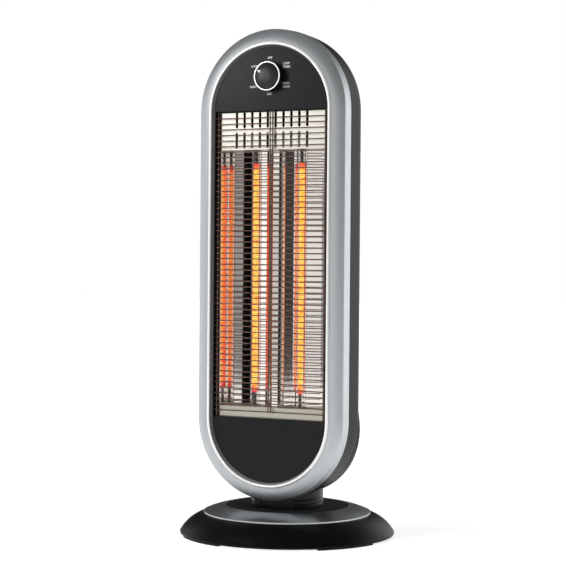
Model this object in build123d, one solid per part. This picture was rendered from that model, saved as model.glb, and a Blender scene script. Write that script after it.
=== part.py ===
from build123d import *
from math import acos, cos, hypot, pi, radians, sin, sqrt, tan
import os

# Carbon heater on a swinging stand. Millimetres, +Z up, the front faces -Y.
# The origin is the centre of the base on the floor, and the head swings about Z.

# General fits
GAP = 0.3              # between pieces that move past each other
FIT = 0.05             # radial running clearance of a shaft
SEAT = 0.1             # between pieces that are screwed or clipped together
OVER = 1.0             # how far a cutter runs past the face that it cuts
SINK = 0.5             # how far a moulded boss sinks into the wall that carries it
REACH = 400.0          # longer than any piece that a cutter runs right through

# Fasteners that several pieces share
SCREW_RADIUS = 1.75
SCREW_ROOM = 0.2       # round a screw in the hole that it passes
HEAD_RADIUS = 3.2
HEAD_HEIGHT = 1.8
BOSS_RADIUS = 4.5

# Head outline: a racetrack, two half rounds joined by straight sides
HEAD_TOP_CENTRE = 630.0
HEAD_BOTTOM_CENTRE = 176.0
HEAD_STRAIGHT = HEAD_TOP_CENTRE - HEAD_BOTTOM_CENTRE
BEZEL_RADIUS = 120.0

# Depths of the head, along Y
PANEL_FRONT = -64.6
PANEL_THICK = 2.2
SEAM = -42.4           # where the bezel meets the rear housing
GUARD_Y = -61.9
PLATE_Y = -57.0
TUBE_Y = -36.0
SHIELD_Y = -18.0
HOUSING_BACK = 19.0
BULGE_BACK = 45.0

# Bezel and its trim ring
BEZEL_WALL = 2.4
BEZEL_CREASE = 61.4    # how far forward the crease between face and side lies
BEZEL_FACE = 68.4      # how far forward the face stands beside the trim ring
BEZEL_CROWN = 1.5      # bow of the face between them
CREASE_INSET = 1.0     # the crease stands in from the side
CREASE_DROP = 1.4
BEZEL_DRAFT = 0.7      # the side leans out towards the seam
CREASE_CORE = 0.6      # extra wall behind the crease
LIP_ROOM = 2.0         # the wall behind the trim ring starts this far out
BEZEL_POST_DEPTH = 3.2
BEZEL_PILOT_Y = -48.0
LIP_INNER = 95.2
LIP_FLOOR = -66.6
RING_OUTER = 100.7
RING_INNER = 96.3
RING_CREST = -70.9
RING_SHOULDER = (1.6, 0.6)    # how far the outer and the inner shoulder lie below the crest
BEVEL_FOOT = 93.4
TRIM_SCREW_CIRCLE = 97.9
TRIM_SCREW = 1.25
TRIM_SCREW_TIP = -69.2
TRIM_SCREW_HEAD = (2.25, 1.4)

# Front panel and its opening
PANEL_RADIUS = 99.5
OPENING_HALF = 92.0
OPENING_LOW = 177.0
OPENING_HIGH = 630.4
RECESS_WALL = 1.6
RECESS_BACK = -46.0
LEDGE_FRONT = -58.9    # the guard's side wires lie on a ledge along each side
LEDGE_THICK = 1.6
LEDGE_INNER = 86.3     # half the width between the ledges
LEDGE_DROP = 1.8       # how far the top ledge hangs down

# Wire guard
WIRE = 1.7
GUARD_RUNGS = 53
RUNG_LOW = 186.2
RUNG_PITCH = 8.345
SIDE_WIRE = 2.2
SIDE_WIRE_X = 89.0
HAIRPIN_X = 2.15
HAIRPIN_WIRE = 1.8
WELD = 0.25            # how far the wires sink into each other at a weld

# Deflector plates
SHEET = 0.8
SHEET_ROOM = 0.4       # between a plate's edge and the recess's wall
UPPER_PLATE_LOW = 573.4
LOWER_PLATE_HIGH = 192.4
SLOT_COUNT = 10
SLOT_PITCH = 13.0
SLOT_WIDTH = 4.2
SLOT_HEIGHT = 24.0
SLOT_ROW_LOW = 587.3
SLOT_ROW_PITCH = 30.0
SLOT_SHIFT = -1.6      # the rows stand a little to the left
TUBE_HOLE = 16.0

# Tubes, filaments and caps
TUBE_X = 38.2
TUBE_OUTER = 6.0
TUBE_WALL = 1.0
TUBE_LOW = 178.0
TUBE_HIGH = 590.0
GLOW_LOW = 213.5
GLOW_HIGH = 554.5
COIL_RADIUS = 3.2
COIL_WIRE = 0.75
COIL_TURNS = 46
COIL_LEAD_RISE = 3.0   # of the bend between the winding and its upright end
COIL_LEAD_BACK = 2.0
CAP_SIZE = 17.0
CAP_LENGTH = 24.0
CAP_GRIP = 12.0        # how deep the tube sits in its cap
STRAP_SHEET = 1.2
STRAP_REACH = 16.0     # past a tube's middle, sideways
STRAP_FRONT = 4.0      # in front of the caps
STRAP_FOOT = 6.0       # half the height of the foot on the shield
STRAP_SET = 5.0        # past a tube's end

# Overheat cut-out and terminal block
CUTOUT_Z = 520.0
CUTOUT_RADIUS = 8.0
CUTOUT_DEPTH = 9.0
CUTOUT_EAR = (28.0, 1.2, 10.0)
CUTOUT_TAB = (3.0, 6.0, 0.8)
CUTOUT_TAB_X = 4.0
TERMINAL_SIZE = (48.0, 16.0, 16.0)
TERMINAL_Z = 298.0
TERMINAL_COUNT = 4
TERMINAL_PITCH = 12.0
TERMINAL_BORE = 2.2
LEAD_RADIUS = 1.1
LEAD_DROP = (22.0, 30.0)      # below a cap, before and after the turn to the back
LEAD_BACK = (14.0, 8.0)       # from the housing's back, there and at the block
LEAD_RISE_Z = 240.0
LEAD_BENDS = (8.0, 14.0, 14.0)
LEAD_ENTRY = 4.0              # how far a lead goes into the block

# Reflector, half of its section from the middle outwards, each bend as X and Y
RIDGE_EDGE = (4.8, -43.8)      # of the flat ridge between the two troughs
RIDGE_FOOT = (10.7, -35.3)
TROUGH_INNER = (25.8, -24.3)
CREST = (42.7, -29.5)          # a low crest behind each tube
TROUGH_OUTER = (66.1, -24.8)
SIDE_FOOT = (79.6, -26.7)
REFLECTOR_EDGE = (90.6, -49.6)
REFLECTOR_SHEET = 0.6

# Heat shield
SHIELD_HALF = 84.0
SHIELD_LOW = 166.0
SHIELD_HIGH = 602.0
SHIELD_SHEET = 0.8
SHIELD_POST_X = 52.0
SHIELD_POST_INSET = 50.0      # from the shield's ends
SHIELD_SCREW = 1.5
SHIELD_SCREW_HOLE = 2.0

# Rear housing
HOUSING_WALL = 2.4
HOUSING_RADIUS = 120.7
HOUSING_DRAFT_RADIUS = 119.3
HOUSING_CORNER_Y = -12.0
HOUSING_CORNER = 28.0
HOUSING_TURN = radians(78)    # how far the corner's arc turns before the back begins
BULGE_FOOT = 84.0
BULGE_TOP = 66.0
CHIN_RADIUS = 118.4
CHIN_FRONT = -40.0       # inside the housing, where the chin begins
CHIN_TOP = 230.0         # and ends
CHIN_LOW = (30.0, 100.0)     # two points of the chin's sloping back, in depth and height
CHIN_HIGH = (8.0, 176.0)
CHIN_ROUND = 10.0
SCREW_CIRCLE = 107.0
WELL_RADIUS = 4.2
WELL_DEPTH_Y = -26.0
WELL_WALL = 1.8
WELL_HEAD = (3.4, 2.4)  # radius and height of the head of a housing screw
CROSS_SLOT = (8.0, 0.8, 1.0)  # length, width and depth of its cross
VENT_COUNT = 13
VENT_PITCH = 8.0
VENT_WIDTH = 3.2
VENT_LENGTH = 84.0
UPPER_VENTS = 540.0
LOWER_VENTS = 210.0
GRIP_WIDTH = 96.0
GRIP_HEIGHT = 27.0
GRIP_DEPTH = 21.0
GRIP_Z = 652.0

# Dial
DIAL_Z = 679.4
KNOB_RADIUS = 21.3
KNOB_FRONT = -77.2
KNOB_WALL = 2.0
KNOB_RING = 1.5
POINTER_ANGLE = 150.0
POINTER_RADIUS = 15.6
SHAFT_RADIUS = 3.0
SWITCH_SIZE = 32.0
SWITCH_DEPTH = 15.0
BUSH_RADIUS = 5.0
BUSH_REACH = 5.0       # how far the switch's bush stands out in front of the panel
SWITCH_ROUND = 3.0
SWITCH_TABS = 3
SWITCH_TAB = (4.0, 6.0, 0.8)
SWITCH_TAB_PITCH = 12.0
SHAFT_ROOM = 8.0       # depth of the shaft's bore in the switch
SHAFT_GRIP = 7.0
NUT_SIZE = (8.2, 3.0)  # corner radius of the panel nut, and its reach in front of the panel
KNOB_STEP = 1.2        # height of the silver ring
KNOB_DOME = (0.4, 1.0)        # how far the dome stands out past the ring, part way and at its middle
KNOB_DOME_SHARE = 0.62
KNOB_SOCKET = 3.0      # the shaft's end lies this far behind the ring's face
KNOB_HOLLOW = 7.0      # how far the hollow reaches in front of the panel
POINTER = (3.4, 3.0, 2.4)     # tip, tail and half width
POINTER_FACE = 0.6     # how far the pointer stands out past the ring's face
POINTER_SEAT = 1.0     # and how deep it sits

# Neck
NECK_RADIUS = 54.0
NECK_FLAT = -43.0
NECK_LOW = 44.3
NECK_WALL = 2.5
NECK_TOP = 120.0       # inside the head, before the housing's space is taken out
NECK_WINDOW = (44.0, 9.0)
NECK_WINDOW_Z = 50.2
NECK_WINDOW_DEPTH = 1.4
NECK_WINDOW_ROUND = 1.5
NECK_LUG_X = (37.0, 52.5)     # the lugs inside that take the turntable's screws
NECK_LUG_HALF = 6.0
NECK_LUG_TOP = 62.0
NECK_SCREW = 1.2
NECK_SCREW_HEAD = (2.4, 1.6)
NECK_SCREW_X = 42.0
NECK_SCREW_Y = 3.5
NECK_SCREW_TIP = 59.0
NECK_SHOULDER_LOW = (54.0, 60.0)
NECK_SHOULDER_HIGH = (8.0, 92.0)
GROOVE_HEIGHTS = (49.4, 56.0)
GROOVE = 1.1

# Pivot
POST_RADIUS = 12.5
POST_BORE = 9.5
POST_LOW = 18.5
POST_HIGH = 168.0
NUT_RADIUS = 19.0      # half its size across corners
NUT_THICK = 6.0
NUT_COLLAR = 7.0
NUT_ROOM = 0.4         # under the gear
CLAMP_LOW = 100.0
CLAMP_HIGH = 150.0
CLAMP_BACK = 25.9      # where the lower clamp meets the chin's sloping back
CLAMP_HEIGHT = 16.0
CLAMP_WIDTH = 52.0
CLAMP_WALL = 1.5       # in front of the post
TURNTABLE_LOW = 51.2
TURNTABLE_THICK = 2.4
TURNTABLE_RADIUS = 50.8
BALL_RADIUS = 2.5
BALL_COUNT = 12
BALL_CIRCLE = 32.0
RACE_INNER = 26.0
RACE_OUTER = 38.0
RACE_LOW = 43.0
RACE_THICK = 2.0
RACE_GROOVE = 0.5
CAGE_THICK = 1.6
CAGE_INSET = 1.0       # from the races' edges
CAGE_ROOM = 0.15       # round a ball in its hole
BUSH_LOW = 36.0
BUSH_WALL = 3.0

# Swing drive: a pinion on a reversing motor turns the hub gear on the post
GEAR_MODULE = 1.5
HUB_TEETH = 40
PINION_TEETH = 18
GEAR_LOW = 27.0
GEAR_THICK = 6.0
BACKLASH = 0.25
PRESSURE = radians(20)
ROOT_DEPTH = 1.25      # in modules below the pitch circle
FLANK_STEPS = 4
SAME_PLACE = 0.001     # points closer than this are one
MOTOR_RADIUS = 24.5
MOTOR_LOW = 6.0
MOTOR_HIGH = 25.0
MOTOR_OFFSET = 12.0    # the output shaft stands off the motor's centre
MOTOR_SHAFT = 2.5
MOTOR_FLOOR = 6.0      # below the shaft's bearing
SHAFT_LIFT = 1.0       # of the shaft's foot over the bearing's floor
MOTOR_SCREW_GRIP = 7.0
EAR_REACH = 30.0
EAR_THICK = 1.0
HUB_WALL = 5.0
HUB_RISE = 2.0         # of the gear's collar over its teeth

# Base
BASE_RADIUS = 160.6
RIM_Z = 5.0
SKIRT_LOW = 2.2
SKIRT_TOP_RADIUS = 124.6
SKIRT_TOP_Z = 32.2
SKIRT_BULGE = (147.5, 20.6)
COVER_WALL = 2.5
COVER_TUCK = 0.6       # how far the underside stands in from the rim
SHOULDER_SHARE = (0.4, 1.0)   # share of the wall, inwards and down, at the shoulder
BULGE_SHARE = (0.7, 0.8)      # and at the bulge
TRIM_LIP = 2.2
TRIM_OVERHANG = 0.4    # how far the lip stands out past the skirt's shoulder
TRIM_CROWN = (1.0, 2.0)  # how far the face bows outwards and up between its edges
TRIM_INNER_Z = 43.7
DISC_RADIUS = 92.0
DISC_TOP = 43.4
DISC_THICK = 1.8
DISC_HOLE = 38.4
PLATE_THICK = 2.0
BALLAST_INNER = 90.0
BALLAST_OUTER = 138.0
BALLAST_THICK = 12.0
PAD_INNER = 142.0
PAD_OUTER = 159.4
PAD_SPAN = 35.0
PAD_ANGLES = (-29.0, 61.0, 151.0, 241.0)
BASE_SCREW_CIRCLE = 84.0
BASE_SCREWS = 6
BASE_SCREW_START = 30.0
BASE_SCREW_GRIP = 13.0
SOCKET = (1.0, 1.0)    # radius and depth of the recess in a screw's head
PLATE_ROOM = 1.0       # between the bottom plate and the skirt
BUSH_BOSS_WALL = 3.5
GLAND_Z = 13.0
GLAND_RADIUS = 7.0
GLAND_BORE = 3.6
GLAND_SEAT = 146.0     # the flat that the flange sits on, in a pocket of the skirt
GLAND_FLANGE = 4.0
GLAND_LENGTH = 7.0
GLAND_SLEEVE = 5.4     # radius of the part that goes through the wall
GLAND_WALL = 5.0       # wall that it goes through
GLAND_BLOCK = 3.0      # how far that wall reaches past the flange

# Tip-over switch
TIP_ANGLE = 100.0
TIP_CIRCLE = 64.0
PLUNGER_RADIUS = 4.0
PLUNGER_TRAVEL = 5.0
PLUNGER_TOP = 17.0
PLUNGER_FLANGE = 2.0
PLUNGER_RIM = 2.5      # how far the flange stands out
PLUNGER_ROUND = 1.0
TIP_PIN = 1.5
SPRING_TOP = 19.0
SPRING_WIRE = 0.5
SPRING_RADIUS = 5.4
SPRING_TURNS = 4
SWITCH_LOW = 21.0
SWITCH_CUP_WALL = 2.2
TIP_SWITCH = (24.0, 10.0, 10.0)  # length, width and height of the switch's body


def face_plane(y):
    """A plane facing the front at depth y, drawn on in X and Z."""
    return Plane(origin=(0, y, 0), x_dir=(1, 0, 0), z_dir=(0, -1, 0))


def slab(sketch, y_front, y_back):
    """A sketch in X and Z made solid between two depths."""
    return extrude(face_plane(y_front) * sketch, amount=-(y_back - y_front))


def box(x0, x1, y0, y1, z0, z1):
    """A box between two corners."""
    middle = ((x0 + x1) / 2, (y0 + y1) / 2, (z0 + z1) / 2)
    return Pos(*middle) * Box(x1 - x0, y1 - y0, z1 - z0)


def rod_y(x, z, radius, y_front, y_back):
    """A cylinder along Y."""
    return slab(Pos(x, z) * Circle(radius), y_front, y_back)


def rod_z(x, y, radius, z0, z1):
    """A cylinder along Z."""
    return Pos(x, y, (z0 + z1) / 2) * Cylinder(radius, z1 - z0)


def ring_z(outer, inner, z0, z1):
    """A flat ring about Z."""
    return rod_z(0, 0, outer, z0, z1) - rod_z(0, 0, inner, z0 - OVER, z1 + OVER)


def around(radius, angle):
    """A point on a circle about Z, its angle counted from the front towards +X."""
    return (radius * sin(radians(angle)), -radius * cos(radians(angle)))


def stadium(radius):
    """The head's outline at a radius, in X and Z."""
    middle = (HEAD_TOP_CENTRE + HEAD_BOTTOM_CENTRE) / 2
    return Pos(0, middle) * SlotOverall(HEAD_STRAIGHT + 2 * radius, 2 * radius, rotation=90)


def racetrack(section):
    """A section drawn in (radius, depth), carried round the head's outline."""
    top = Pos(0, 0, HEAD_TOP_CENTRE) * section
    bottom = Pos(0, 0, HEAD_BOTTOM_CENTRE) * section
    upper = revolve(top, Axis((0, 0, HEAD_TOP_CENTRE), (0, -1, 0)), 180)
    lower = revolve(bottom, Axis((0, 0, HEAD_BOTTOM_CENTRE), (0, 1, 0)), 180)
    right = extrude(bottom, amount=HEAD_STRAIGHT, dir=(0, 0, 1))
    return upper + right + mirror(right, about=Plane.YZ) + lower


def turned(section):
    """A section drawn in (radius, height), turned about Z."""
    return revolve(Plane.XZ * section, Axis.Z, 360)


def polar(count, start=0.0):
    """Evenly spaced angles in degrees."""
    return [start + 360 * k / count for k in range(count)]


def outline_points(radius):
    """Seven places on the head's outline for its screws, as (x, z), none where the post passes."""
    places = []
    for angle in (30, 90, 150):
        places.append((radius * cos(radians(angle)), HEAD_TOP_CENTRE + radius * sin(radians(angle))))
    for angle in (30, 150):
        places.append((radius * cos(radians(angle)), HEAD_BOTTOM_CENTRE - radius * sin(radians(angle))))
    middle = (HEAD_TOP_CENTRE + HEAD_BOTTOM_CENTRE) / 2
    return places + [(radius, middle), (-radius, middle)]


# Base

def skirt_outline(inset):
    """The base cover's outer shape, or its inner one at the wall's thickness."""
    low = SKIRT_LOW if inset == 0 else SKIRT_LOW - OVER
    rim = (BASE_RADIUS - inset, RIM_Z)
    inward, down = SHOULDER_SHARE
    shoulder = (SKIRT_TOP_RADIUS - inset * inward, SKIRT_TOP_Z - inset * down)
    inward, down = BULGE_SHARE
    bulge = (SKIRT_BULGE[0] - inset * inward, SKIRT_BULGE[1] - inset * down)
    crown_z = DISC_TOP - DISC_THICK - inset
    crown = (DISC_RADIUS - 2 * inset, crown_z)
    start = (0, low)
    foot = (BASE_RADIUS - inset - COVER_TUCK, low)
    sides = Line(start, foot)
    sides += Line(foot, rim)
    sides += ThreePointArc(rim, bulge, shoulder)
    sides += Line(shoulder, crown)
    sides += Line(crown, (0, crown_z))
    sides += Line((0, crown_z), start)
    return make_face(sides)


def trim_section():
    """The silver ring: a sloping face with a small upright lip round its outer edge."""
    outer = SKIRT_TOP_RADIUS + TRIM_OVERHANG
    low = SKIRT_TOP_Z + SEAT
    inner = DISC_RADIUS + SEAT
    middle = ((outer + inner) / 2 + TRIM_CROWN[0], (low + TRIM_INNER_Z) / 2 + TRIM_CROWN[1])
    edges = Line((outer, low), (outer, low + TRIM_LIP))
    edges += ThreePointArc((outer, low + TRIM_LIP), middle, (inner, TRIM_INNER_Z))
    edges += Line((inner, TRIM_INNER_Z), (inner, DISC_TOP - DISC_THICK + SEAT))
    edges += Line((inner, DISC_TOP - DISC_THICK + SEAT), (outer, low))
    return make_face(edges)


def make_base_trim_ring():
    return turned(trim_section())


def motor_centre():
    """Centre of the swing motor and of its output shaft, both behind the post."""
    reach = GEAR_MODULE * (HUB_TEETH + PINION_TEETH) / 2
    return (0, reach + MOTOR_OFFSET), (0, reach)


def ear_places():
    (mx, my), _ = motor_centre()
    return [(mx - EAR_REACH, my), (mx + EAR_REACH, my)]


def base_screw_places():
    return [around(BASE_SCREW_CIRCLE, a) for a in polar(BASE_SCREWS, BASE_SCREW_START)]


def make_base_cover():
    cover = turned(skirt_outline(0)) - turned(skirt_outline(COVER_WALL))
    boss_top = RACE_LOW
    under = DISC_TOP - DISC_THICK - COVER_WALL
    cover += rod_z(0, 0, RACE_OUTER, under - SINK, boss_top)
    cover += rod_z(0, 0, POST_RADIUS + BUSH_WALL + BUSH_BOSS_WALL, BUSH_LOW, under)
    for x, y in ear_places():
        cover += rod_z(x, y, BOSS_RADIUS, MOTOR_HIGH, under + SINK)
    for x, y in base_screw_places():
        cover += rod_z(x, y, BOSS_RADIUS, SKIRT_LOW + PLATE_THICK, under + SINK)
    cover -= rod_z(0, 0, POST_RADIUS + BUSH_WALL, BUSH_LOW - OVER, boss_top + OVER)
    for x, y in ear_places():
        cover -= rod_z(x, y, SCREW_RADIUS, MOTOR_HIGH - OVER, MOTOR_HIGH + MOTOR_SCREW_GRIP + OVER)
    for x, y in base_screw_places():
        cover -= rod_z(x, y, SCREW_RADIUS, SKIRT_LOW, SKIRT_LOW + BASE_SCREW_GRIP + OVER)
    half = GLAND_RADIUS + GLAND_BLOCK
    seat = box(-half, half, GLAND_SEAT - GLAND_WALL, BASE_RADIUS,
               SKIRT_LOW + PLATE_THICK + SEAT, GLAND_Z + half)
    cover += seat & turned(skirt_outline(0))
    cover -= rod_y(0, GLAND_Z, GLAND_RADIUS + SEAT, GLAND_SEAT, BASE_RADIUS + OVER)
    return cover - rod_y(0, GLAND_Z, GLAND_SLEEVE + SEAT, GLAND_SEAT - GLAND_WALL - OVER, BASE_RADIUS)


def make_base_inset_disc():
    low = DISC_TOP - DISC_THICK
    return ring_z(DISC_RADIUS, DISC_HOLE, low, DISC_TOP)


def make_bottom_plate():
    top = SKIRT_LOW + PLATE_THICK
    plate = rod_z(0, 0, BASE_RADIUS - COVER_WALL - PLATE_ROOM, SKIRT_LOW, top)
    for x, y in base_screw_places():
        plate -= rod_z(x, y, SCREW_RADIUS + SCREW_ROOM, 0, top + OVER)
    px, py = tip_place()
    return plate - rod_z(px, py, PLUNGER_RADIUS + GAP, 0, top + OVER)


def make_ballast_ring():
    low = SKIRT_LOW + PLATE_THICK
    ring = ring_z(BALLAST_OUTER, BALLAST_INNER, low, low + BALLAST_THICK)
    half = GLAND_RADIUS
    notch_low = GLAND_Z - GLAND_SLEEVE - SINK
    return ring - box(-half, half, 0, BALLAST_OUTER + OVER, notch_low, GLAND_Z + half)


def make_foot_pads():
    pads = []
    for angle in PAD_ANGLES:
        ring = ring_z(PAD_OUTER, PAD_INNER, 0, SKIRT_LOW)
        x0, y0 = around(REACH, angle - PAD_SPAN / 2)
        x1, y1 = around(REACH, angle + PAD_SPAN / 2)
        wedge = extrude(make_face(Polyline((0, 0), (x0, y0), (x1, y1), close=True)), amount=SKIRT_LOW)
        pads.append(ring & wedge)
    return pads


def make_base_screws():
    screws = []
    under = SKIRT_LOW - HEAD_HEIGHT
    for x, y in base_screw_places():
        head = rod_z(x, y, HEAD_RADIUS, under, SKIRT_LOW)
        shank = rod_z(x, y, SCREW_RADIUS, SKIRT_LOW, SKIRT_LOW + BASE_SCREW_GRIP)
        screws.append(head + shank - rod_z(x, y, SOCKET[0], under - OVER, under + SOCKET[1]))
    return screws


def make_cord_gland():
    """A flanged rubber bush through the skirt, with the lead's bore."""
    back = GLAND_SEAT + GLAND_FLANGE
    flange = rod_y(0, GLAND_Z, GLAND_RADIUS, GLAND_SEAT, back)
    sleeve = rod_y(0, GLAND_Z, GLAND_SLEEVE, GLAND_SEAT - GLAND_LENGTH, GLAND_SEAT)
    return flange + sleeve - rod_y(0, GLAND_Z, GLAND_BORE, GLAND_SEAT - GLAND_LENGTH - OVER, back + OVER)


def make_pivot_bush():
    return ring_z(POST_RADIUS + BUSH_WALL, POST_RADIUS + FIT, BUSH_LOW, RACE_LOW)


def race_groove(middle_z):
    """A round groove for the balls."""
    return Pos(0, 0, middle_z) * Torus(BALL_CIRCLE, BALL_RADIUS + FIT)


BALL_Z = RACE_LOW + RACE_THICK - RACE_GROOVE + BALL_RADIUS + FIT
UPPER_RACE_LOW = BALL_Z + BALL_RADIUS + FIT - RACE_GROOVE


def make_lower_race():
    return ring_z(RACE_OUTER, RACE_INNER, RACE_LOW, RACE_LOW + RACE_THICK) - race_groove(BALL_Z)


def make_upper_race():
    return ring_z(RACE_OUTER, RACE_INNER, UPPER_RACE_LOW, TURNTABLE_LOW) - race_groove(BALL_Z)


def make_ball_cage():
    low, high = BALL_Z - CAGE_THICK / 2, BALL_Z + CAGE_THICK / 2
    cage = ring_z(RACE_OUTER - CAGE_INSET, RACE_INNER + CAGE_INSET, low, high)
    for angle in polar(BALL_COUNT):
        x, y = around(BALL_CIRCLE, angle)
        cage -= rod_z(x, y, BALL_RADIUS + CAGE_ROOM, low - OVER, high + OVER)
    return cage


def make_bearing_balls():
    balls = []
    for angle in polar(BALL_COUNT):
        x, y = around(BALL_CIRCLE, angle)
        balls.append(Pos(x, y, BALL_Z) * Sphere(BALL_RADIUS))
    return balls


def make_oscillation_motor():
    (mx, my), (sx, sy) = motor_centre()
    ear_low = MOTOR_HIGH - EAR_THICK
    motor = rod_z(mx, my, MOTOR_RADIUS, MOTOR_LOW, ear_low)
    ear = box(mx - EAR_REACH, mx + EAR_REACH, my - BOSS_RADIUS, my + BOSS_RADIUS, ear_low, MOTOR_HIGH)
    for x, y in ear_places():
        ear += rod_z(x, y, BOSS_RADIUS, ear_low, MOTOR_HIGH)
    motor += ear
    for x, y in ear_places():
        motor -= rod_z(x, y, SCREW_RADIUS + SCREW_ROOM, MOTOR_LOW, MOTOR_HIGH + OVER)
    bore = rod_z(sx, sy, MOTOR_SHAFT + FIT, MOTOR_LOW + MOTOR_FLOOR, MOTOR_HIGH + OVER)
    return motor - bore


def make_motor_screws():
    screws = []
    ear_low = MOTOR_HIGH - EAR_THICK
    for x, y in ear_places():
        head = rod_z(x, y, HEAD_RADIUS, ear_low - HEAD_HEIGHT, ear_low)
        screws.append(head + rod_z(x, y, SCREW_RADIUS, ear_low, MOTOR_HIGH + MOTOR_SCREW_GRIP))
    return screws


def gear_outline(teeth, first_tooth):
    """An involute gear's outline, with one tooth centred on an angle in radians."""
    pitch = GEAR_MODULE * teeth / 2
    base = pitch * cos(PRESSURE)
    tip = pitch + GEAR_MODULE
    root = pitch - ROOT_DEPTH * GEAR_MODULE
    half_at_pitch = pi / (2 * teeth) - BACKLASH / (4 * pitch)
    pitch_roll = tan(PRESSURE) - PRESSURE
    start = max(base, root)
    steps = FLANK_STEPS
    flank = []
    for k in range(steps + 1):
        radius = start + (tip - start) * k / steps
        press = acos(min(1.0, base / radius))
        flank.append((radius, half_at_pitch + pitch_roll - (tan(press) - press)))
    points = []
    for n in range(teeth):
        middle = first_tooth + 2 * pi * n / teeth
        rising = [(root, middle - flank[0][1])] + [(r, middle - half) for r, half in flank]
        falling = [(r, middle + half) for r, half in reversed(flank)] + [(root, middle + flank[0][1])]
        points += [(r * cos(a), r * sin(a)) for r, a in rising + falling]
    tidy = [points[0]]
    for point in points[1:]:
        if hypot(point[0] - tidy[-1][0], point[1] - tidy[-1][1]) > SAME_PLACE:
            tidy.append(point)
    return make_face(Polyline(*tidy, close=True))


def make_hub_gear():
    gear = extrude(Pos(0, 0, GEAR_LOW) * gear_outline(HUB_TEETH, pi / 2), amount=GEAR_THICK)
    top = GEAR_LOW + GEAR_THICK + HUB_RISE
    gear += rod_z(0, 0, POST_RADIUS + HUB_WALL, GEAR_LOW, top)
    return gear - rod_z(0, 0, POST_RADIUS, GEAR_LOW - OVER, top + OVER)


def make_motor_pinion():
    _, (sx, sy) = motor_centre()
    gap_first = -pi / 2 + pi / PINION_TEETH
    gear = extrude(Pos(sx, sy, GEAR_LOW) * gear_outline(PINION_TEETH, gap_first), amount=GEAR_THICK)
    return gear - rod_z(sx, sy, MOTOR_SHAFT, GEAR_LOW - OVER, GEAR_LOW + GEAR_THICK + OVER)


def make_motor_shaft():
    _, (sx, sy) = motor_centre()
    return rod_z(sx, sy, MOTOR_SHAFT, MOTOR_LOW + MOTOR_FLOOR + SHAFT_LIFT, GEAR_LOW + GEAR_THICK)


def tip_place():
    return around(TIP_CIRCLE, TIP_ANGLE)


def flange_top():
    """Top of the plunger's flange while the heater stands and the plunger is pushed in."""
    return SKIRT_LOW + PLATE_THICK + PLUNGER_TRAVEL + GAP + PLUNGER_FLANGE


def make_tip_plunger():
    x, y = tip_place()
    stem = rod_z(x, y, PLUNGER_RADIUS, 0, PLUNGER_TOP) + rod_z(x, y, TIP_PIN, PLUNGER_TOP, SWITCH_LOW - GAP)
    stem += rod_z(x, y, PLUNGER_RADIUS + PLUNGER_RIM, flange_top() - PLUNGER_FLANGE, flange_top())
    return fillet(stem.edges().sort_by(Axis.Z)[0], PLUNGER_ROUND)


def make_tip_switch():
    """The switch body on its holder, a cup round the plunger."""
    x, y = tip_place()
    low = SKIRT_LOW + PLATE_THICK
    inner = PLUNGER_RADIUS + PLUNGER_RIM + GAP
    length, width, height = TIP_SWITCH
    cup = rod_z(x, y, inner + SWITCH_CUP_WALL, low, SWITCH_LOW)
    cup -= rod_z(x, y, inner, low - OVER, SPRING_TOP)
    cup -= rod_z(x, y, TIP_PIN + GAP, low, SWITCH_LOW)
    cup += Pos(x, y, SWITCH_LOW + height / 2) * Box(length, width, height)
    return cup


def make_tip_spring():
    """The small spring above the plunger's flange."""
    x, y = tip_place()
    low = flange_top() + SPRING_WIRE + SEAT
    rise = (SPRING_TOP - SPRING_WIRE - SEAT - low) / SPRING_TURNS
    path, gap = winding((x, y), SPRING_RADIUS, low, rise, SPRING_TURNS, lead=0.0)
    print("tip spring, least gap between turns", round(gap - 2 * SPRING_WIRE, 2), "mm")
    return tube(path, SPRING_WIRE)


# Wound forms
PARALLEL = 1e-9        # below this two directions count as one
GAP_ARCS = 24          # arcs of a winding on which its least gap is measured
GAP_STEPS = 6          # places on each of them
GAP_SKIP = 5           # arcs between two places that may count as neighbours


def helix_point(centre, radius, low, rise, angle):
    """Point and direction on a helix at an angle in radians."""
    point = Vector(
        centre[0] + radius * cos(angle),
        centre[1] + radius * sin(angle),
        low + rise * angle / (2 * pi),
    )
    along = Vector(-radius * sin(angle), radius * cos(angle), rise / (2 * pi)).normalized()
    return point, along


def biarc(start, start_dir, end, end_dir):
    """Two arcs that join two points and keep the direction at each."""
    chord = end - start
    both = start_dir + end_dir
    a = both.dot(both) - 4
    b = -2 * chord.dot(both)
    c = chord.dot(chord)
    reach = -c / b if abs(a) < PARALLEL else (-b - sqrt(b * b - 4 * a * c)) / (2 * a)
    near = start + start_dir * reach
    far = end - end_dir * reach
    middle = (near + far) * 0.5
    joint_dir = (far - near).normalized()
    return [
        Edge.make_tangent_arc(start, start_dir, middle),
        Edge.make_tangent_arc(middle, joint_dir, end),
    ]


def winding(centre, radius, low, rise, turns, lead):
    """A helix as biarcs of a quarter turn, with straight leads, and its least gap to itself."""
    edges = []
    samples = []
    for k in range(4 * turns):
        start, start_dir = helix_point(centre, radius, low, rise, pi / 2 * k)
        end, end_dir = helix_point(centre, radius, low, rise, pi / 2 * (k + 1))
        edges += biarc(start, start_dir, end, end_dir)
    for edge in edges[:GAP_ARCS]:
        samples += [edge @ (k / GAP_STEPS) for k in range(GAP_STEPS)]
    least = rise
    for i, first in enumerate(samples):
        for second in samples[i + GAP_SKIP * GAP_STEPS:]:
            least = min(least, (first - second).length)
    if lead > 0:
        edges = lead_in(edges, lead)
    return Wire(edges), least


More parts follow.
